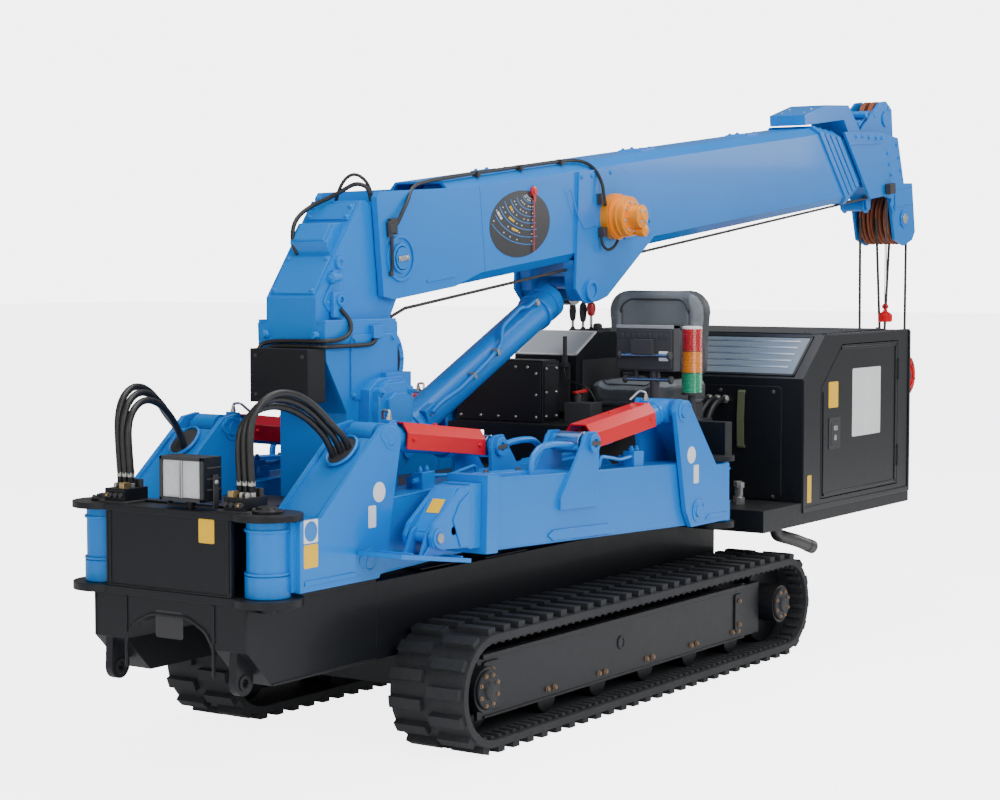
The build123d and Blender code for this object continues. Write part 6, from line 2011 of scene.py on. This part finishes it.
@dataclass
class Engine:
    """The engine bay's panels, slanted screen, door latch, louvres, hoses and strap."""

    machine: Machine
    face: float = 660.0
    front_x: float = -2382.0
    rear_x: float = -3539.0

    def build(self) -> None:
        """Dress the engine bay."""
        self.machine.dress(COVER, "engine_cover", "engine_door")
        self.machine.dress(DARK_STEEL, "engine_block")
        self.panels()
        self.door()
        self.louvres()
        self.front()

    def panels(self) -> None:
        """Add the cover's seams, corner strips, slanted screen and top plate."""
        shape, screen, strips, rim, bolts = self.machine.shapes(5)
        for side in SIDES:
            face = side * self.face
            shape.block((-2400, face, 604), (self.front_x, face + side * 5, 1180))
            shape.block((self.rear_x, face, 604), (-3521, face + side * 5, 1366))
            shape.block((-3536, face, 600), (-2384, face + side * 6, 622))
            shape.block((-3536, side * 640, 1366), (-2610, side * 662, 1374))
        shape.plate(round_box(-3480, -2650, -560, 560, 24), 1370, 1375, Way.UP)
        shape.plate(round_box(-560, 560, 650, 1150, 20), self.front_x, -2376, Way.ALONG)
        shape.piece("engine_panels", COVER, "machine", 1.6, "black_paint")
        front = slope((-2380, 1185), (-220, 185))
        screen.plate(front.strip(26, 262, -1, 3), -600, 600)
        screen.piece("slanted_screen", CLEAR_GLASS, "machine", 0.8)
        # Bright metal strips across the glass: painted reflections.
        for run in (66, 108, 150, 192, 232):
            strips.plate(front.strip(run, run + 9, 3, 5), -560, 560)
        strips.piece("slanted_screen_reflections", PAINTED_REFLECTIONS, "machine", 0.3)
        for low, high, y0, y1 in frame_edges(14, 274, -612, 612, 12, 12):
            rim.plate(front.strip(low, high, -1, 6), y0, y1)
        rim.piece("slanted_screen_rim", COVER, "machine", 1.2, "black_paint")
        bolts.bolts([(-2376, y, z) for y in (-520, -260, 0, 260, 520) for z in (664, 1126)], (1, 0, 0), 7)
        bolts.bolts([(x, y, 1375) for x in (-3450, -3065, -2680) for y in (-530, 530)], (0, 0, 1), 7)
        bolts.piece("engine_panel_bolts", DARK_STEEL, "machine", 0.5, "forged_steel")

    def door(self) -> None:
        """Add the door's folded rim, latch, key and blank plates."""
        face = self.face
        rim, latch, key, white, yellow, low = self.machine.shapes(6)
        rim.block((-3378, face, 656), (-2582, face + 4, 668))
        rim.block((-3378, face, 1300), (-2770, face + 4, 1312))
        rim.block((-3378, face, 656), (-3366, face + 4, 1312))
        rim.block((-2594, face, 656), (-2582, face + 4, 1120))
        rim.piece("engine_door_rim", COVER, "engine_door", 1.2, "black_paint")
        latch.plate(round_box(-2760, -2644, 858, 1000, 10), face, face + 3)
        latch.plate(round_box(-2742, -2662, 878, 980, 8), face + 3, face + 5)
        latch.piece("engine_door_latch", DARK_PLASTIC, "engine_door", 1.2, "dark_plastic")
        key.turned((-2702, face + 5, 910), (-2702, 999, 910), [(0, 13), (2, 13), (3, 8), (4, 8)], 20)
        key.plate(round_box(-2722, -2682, 942, 962, 5), face + 5, face + 8)
        key.piece("engine_door_key", ZINC, "engine_door", 0.6, "forged_steel")
        white.plate(round_box(-3200, -2890, 900, 1210, 8), face, face + 0.9)
        white.piece("engine_door_plate", WHITE_LABEL, "engine_door", 0)
        yellow.plate(round_box(-2738, -2640, 1044, 1160, 6), face, face + 0.9)
        yellow.piece("engine_door_sign", YELLOW_LABEL, "engine_door", 0)
        low.plate(round_box(-2470, -2430, 640, 760, 4), face, face + 1)
        low.piece("engine_side_sign", YELLOW_LABEL, "machine", 0)

    def louvres(self) -> None:
        """Add rows of louvres on the right side and the rear, with dark sheets behind them as painted shade.
        """
        slats, dark = self.machine.shapes(2)
        side, rear = -self.face, self.rear_x
        for number in range(12):
            z = 760 + number * 38
            slat = [(side, z), (side - 8, z - 16), (side - 5, z - 17), (side + 3, z)]
            slats.plate(slat, -3330, -2700, Way.ALONG)
            slats.plate([(rear, z), (rear - 8, z - 16), (rear - 5, z - 17), (rear + 3, z)], -420, 420)
        # Dark sheets behind the slats: painted shade in the louvres' gaps.
        dark.block((-3330, side - 0.8, 730), (-2700, side, 1186))
        dark.block((rear - 1, -420, 730), (rear - 0.2, 420, 1186))
        dark.piece("engine_louvre_shade", DARK_PLASTIC, "machine", 0)
        slats.piece("engine_louvres", COVER, "machine", 0, "black_paint")

    def front(self) -> None:
        """Lay the hoses and strap ahead of the cover, and add their fittings and the exhaust's lip."""
        fittings, strap, tip = self.machine.shapes(3)
        for number, y in enumerate((206, 246, 286), 1):
            self.machine.cord(f"engine_hose_{number}", "machine", 13, [
                (-2382, y, 1086), (-2340, y, 1090), (-2272, y - 4, 1066), (-2214, y - 10, 996),
                (-2186, y - 8, 900), (-2190, y - 2, 800), (-2204, y, 716), (-2204, y, 650)])
            fittings.turned((-2380, y, 1086), (-2300, y, 1086), [(0, 20), (14, 20), (16, 15), (30, 15)], 6)
            fittings.turned((-2204, y, 644), (-2204, y, 999), [(0, 22), (20, 22), (22, 16), (44, 16)], 6)
        fittings.block((-2260, 160, 644), (-2150, 330, 664))
        post = [(0, 22), (30, 22), (32, 14), (70, 14), (72, 20), (96, 20)]
        for x, y in ((-2240, 420), (-2200, 450)):
            fittings.turned((x, y, 644), (x, y, 999), post, 6)
        fittings.piece("engine_fittings", ZINC, "machine", 0.6, "valve_steel")
        strap.plate([(-2372, 1130), (-2362, 1122), (-2352, 1000), (-2356, 880), (-2370, 872),
                     (-2373, 882), (-2362, 890), (-2358, 1000), (-2366, 1112), (-2374, 1120)], 352, 386)
        strap.piece("olive_strap", STRAP, "machine", 0.8)
        tip.turned((-2560, 628, 430), (-2566, 629.5, 427.8), [(-40, 30), (-2, 30), (-1, 24), (-30, 23)], 28)
        tip.piece("exhaust_lip", DARK_STEEL, "machine", 0.6, "forged_steel")


# The studio


@dataclass
class Studio:
    """The pale floor, soft lights and camera."""

    shift: float
    camera_spot: tuple[float, float, float] = (6090.0, 4748.0, 1692.0)
    camera_turn: tuple[float, float, float] = (86.33, 0.0, 123.8)
    lens: float = 77.4

    def build(self) -> None:
        """Make the studio."""
        self.floor()
        self.world()
        # name, spot, what it points at, size, watts
        for name, spot, aim, size, watts in (
            ("top_light", (-1200, 600, 6200), (-1200, 0, 900), 5.0, 330),
            ("left_light", (1800, 6400, 4200), (-1200, 0, 1000), 4.0, 300),
            ("front_light", (7200, 600, 3000), (0, 0, 900), 3.6, 190),
            ("rear_light", (-7600, 3600, 3800), (-2600, 0, 1200), 3.0, 150),
        ):
            self.light(name, spot, aim, size, watts)
        self.camera()

    def floor(self) -> None:
        """Lay the floor."""
        data = bpy.data.meshes.new("floor")
        half = 60.0
        corners = [(-half, -half, 0), (half, -half, 0), (half, half, 0), (-half, half, 0)]
        data.from_pydata(corners, [], [(0, 1, 2, 3)])
        data.materials.append(FLOOR_PAPER.material())
        linked("floor", data)

    def world(self) -> None:
        """Give the room its pale light."""
        world = bpy.data.worlds.new("room")
        bpy.context.scene.world = world
        world.use_nodes = True
        world.node_tree.nodes.clear()
        shop = ShaderShop(world.node_tree)
        seen = shop.add("ShaderNodeLightPath", {}, {})[0]
        strength = seen * 5.2 + 0.24
        glow = shop.add("ShaderNodeBackground", {}, {0: (1.0, 1.0, 1.0, 1), 1: strength})[0]
        shop.add("ShaderNodeOutputWorld", {}, {0: glow})

    def metres(self, spot: Point) -> Vector:
        """Give a point of the machine in the frame's metres."""
        return Vector(((spot[0] + self.shift) / 1000, spot[1] / 1000, spot[2] / 1000))

    def light(self, name: str, spot: Point, aim: Point, size: float, watts: float) -> None:
        """Hang a square soft light.

        Args:
            name: The light's name.
            spot: Where it hangs, in millimetres of the machine.
            aim: What it points at.
            size: Its sides' length in metres.
            watts: Its power.
        """
        lamp = bpy.data.lights.new(name, "AREA")
        lamp.size, lamp.energy = size, watts
        thing = linked(name, lamp)
        thing.location = self.metres(spot)
        thing.rotation_euler = (self.metres(aim) - self.metres(spot)).to_track_quat("-Z", "Y").to_euler()

    def camera(self) -> None:
        """Set the camera where the photograph was taken."""
        data = bpy.data.cameras.new("camera")
        data.lens = self.lens
        data.sensor_width = 36.0
        data.clip_end = 200.0
        thing = linked("camera", data)
        thing.location = self.metres(self.camera_spot)
        thing.rotation_euler = tuple(math.radians(a) for a in self.camera_turn)
        bpy.context.scene.camera = thing


def main() -> None:
    """Load the frame, dress it and set the studio up."""
    logging.basicConfig(level=logging.INFO, format="%(name)s: %(message)s")
    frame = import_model()
    low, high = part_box("turntable")
    shift = (low.x + high.x) * 500
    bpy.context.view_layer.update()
    machine = Machine(frame["nodes"], shift)
    Tracks(machine).build()
    FrontFrame(machine).build()
    for name, places in outrigger_places(shift).items():
        end = name.split("_")[0]
        Outrigger(machine, name, places, PIN_REACH[end], end == "front").build()
    for part in (Post, Boom, Head, HookBlock, OperatorPlace, Engine):
        part(machine).build()
    Studio(shift).build()


if __name__ == "__main__":
    main()
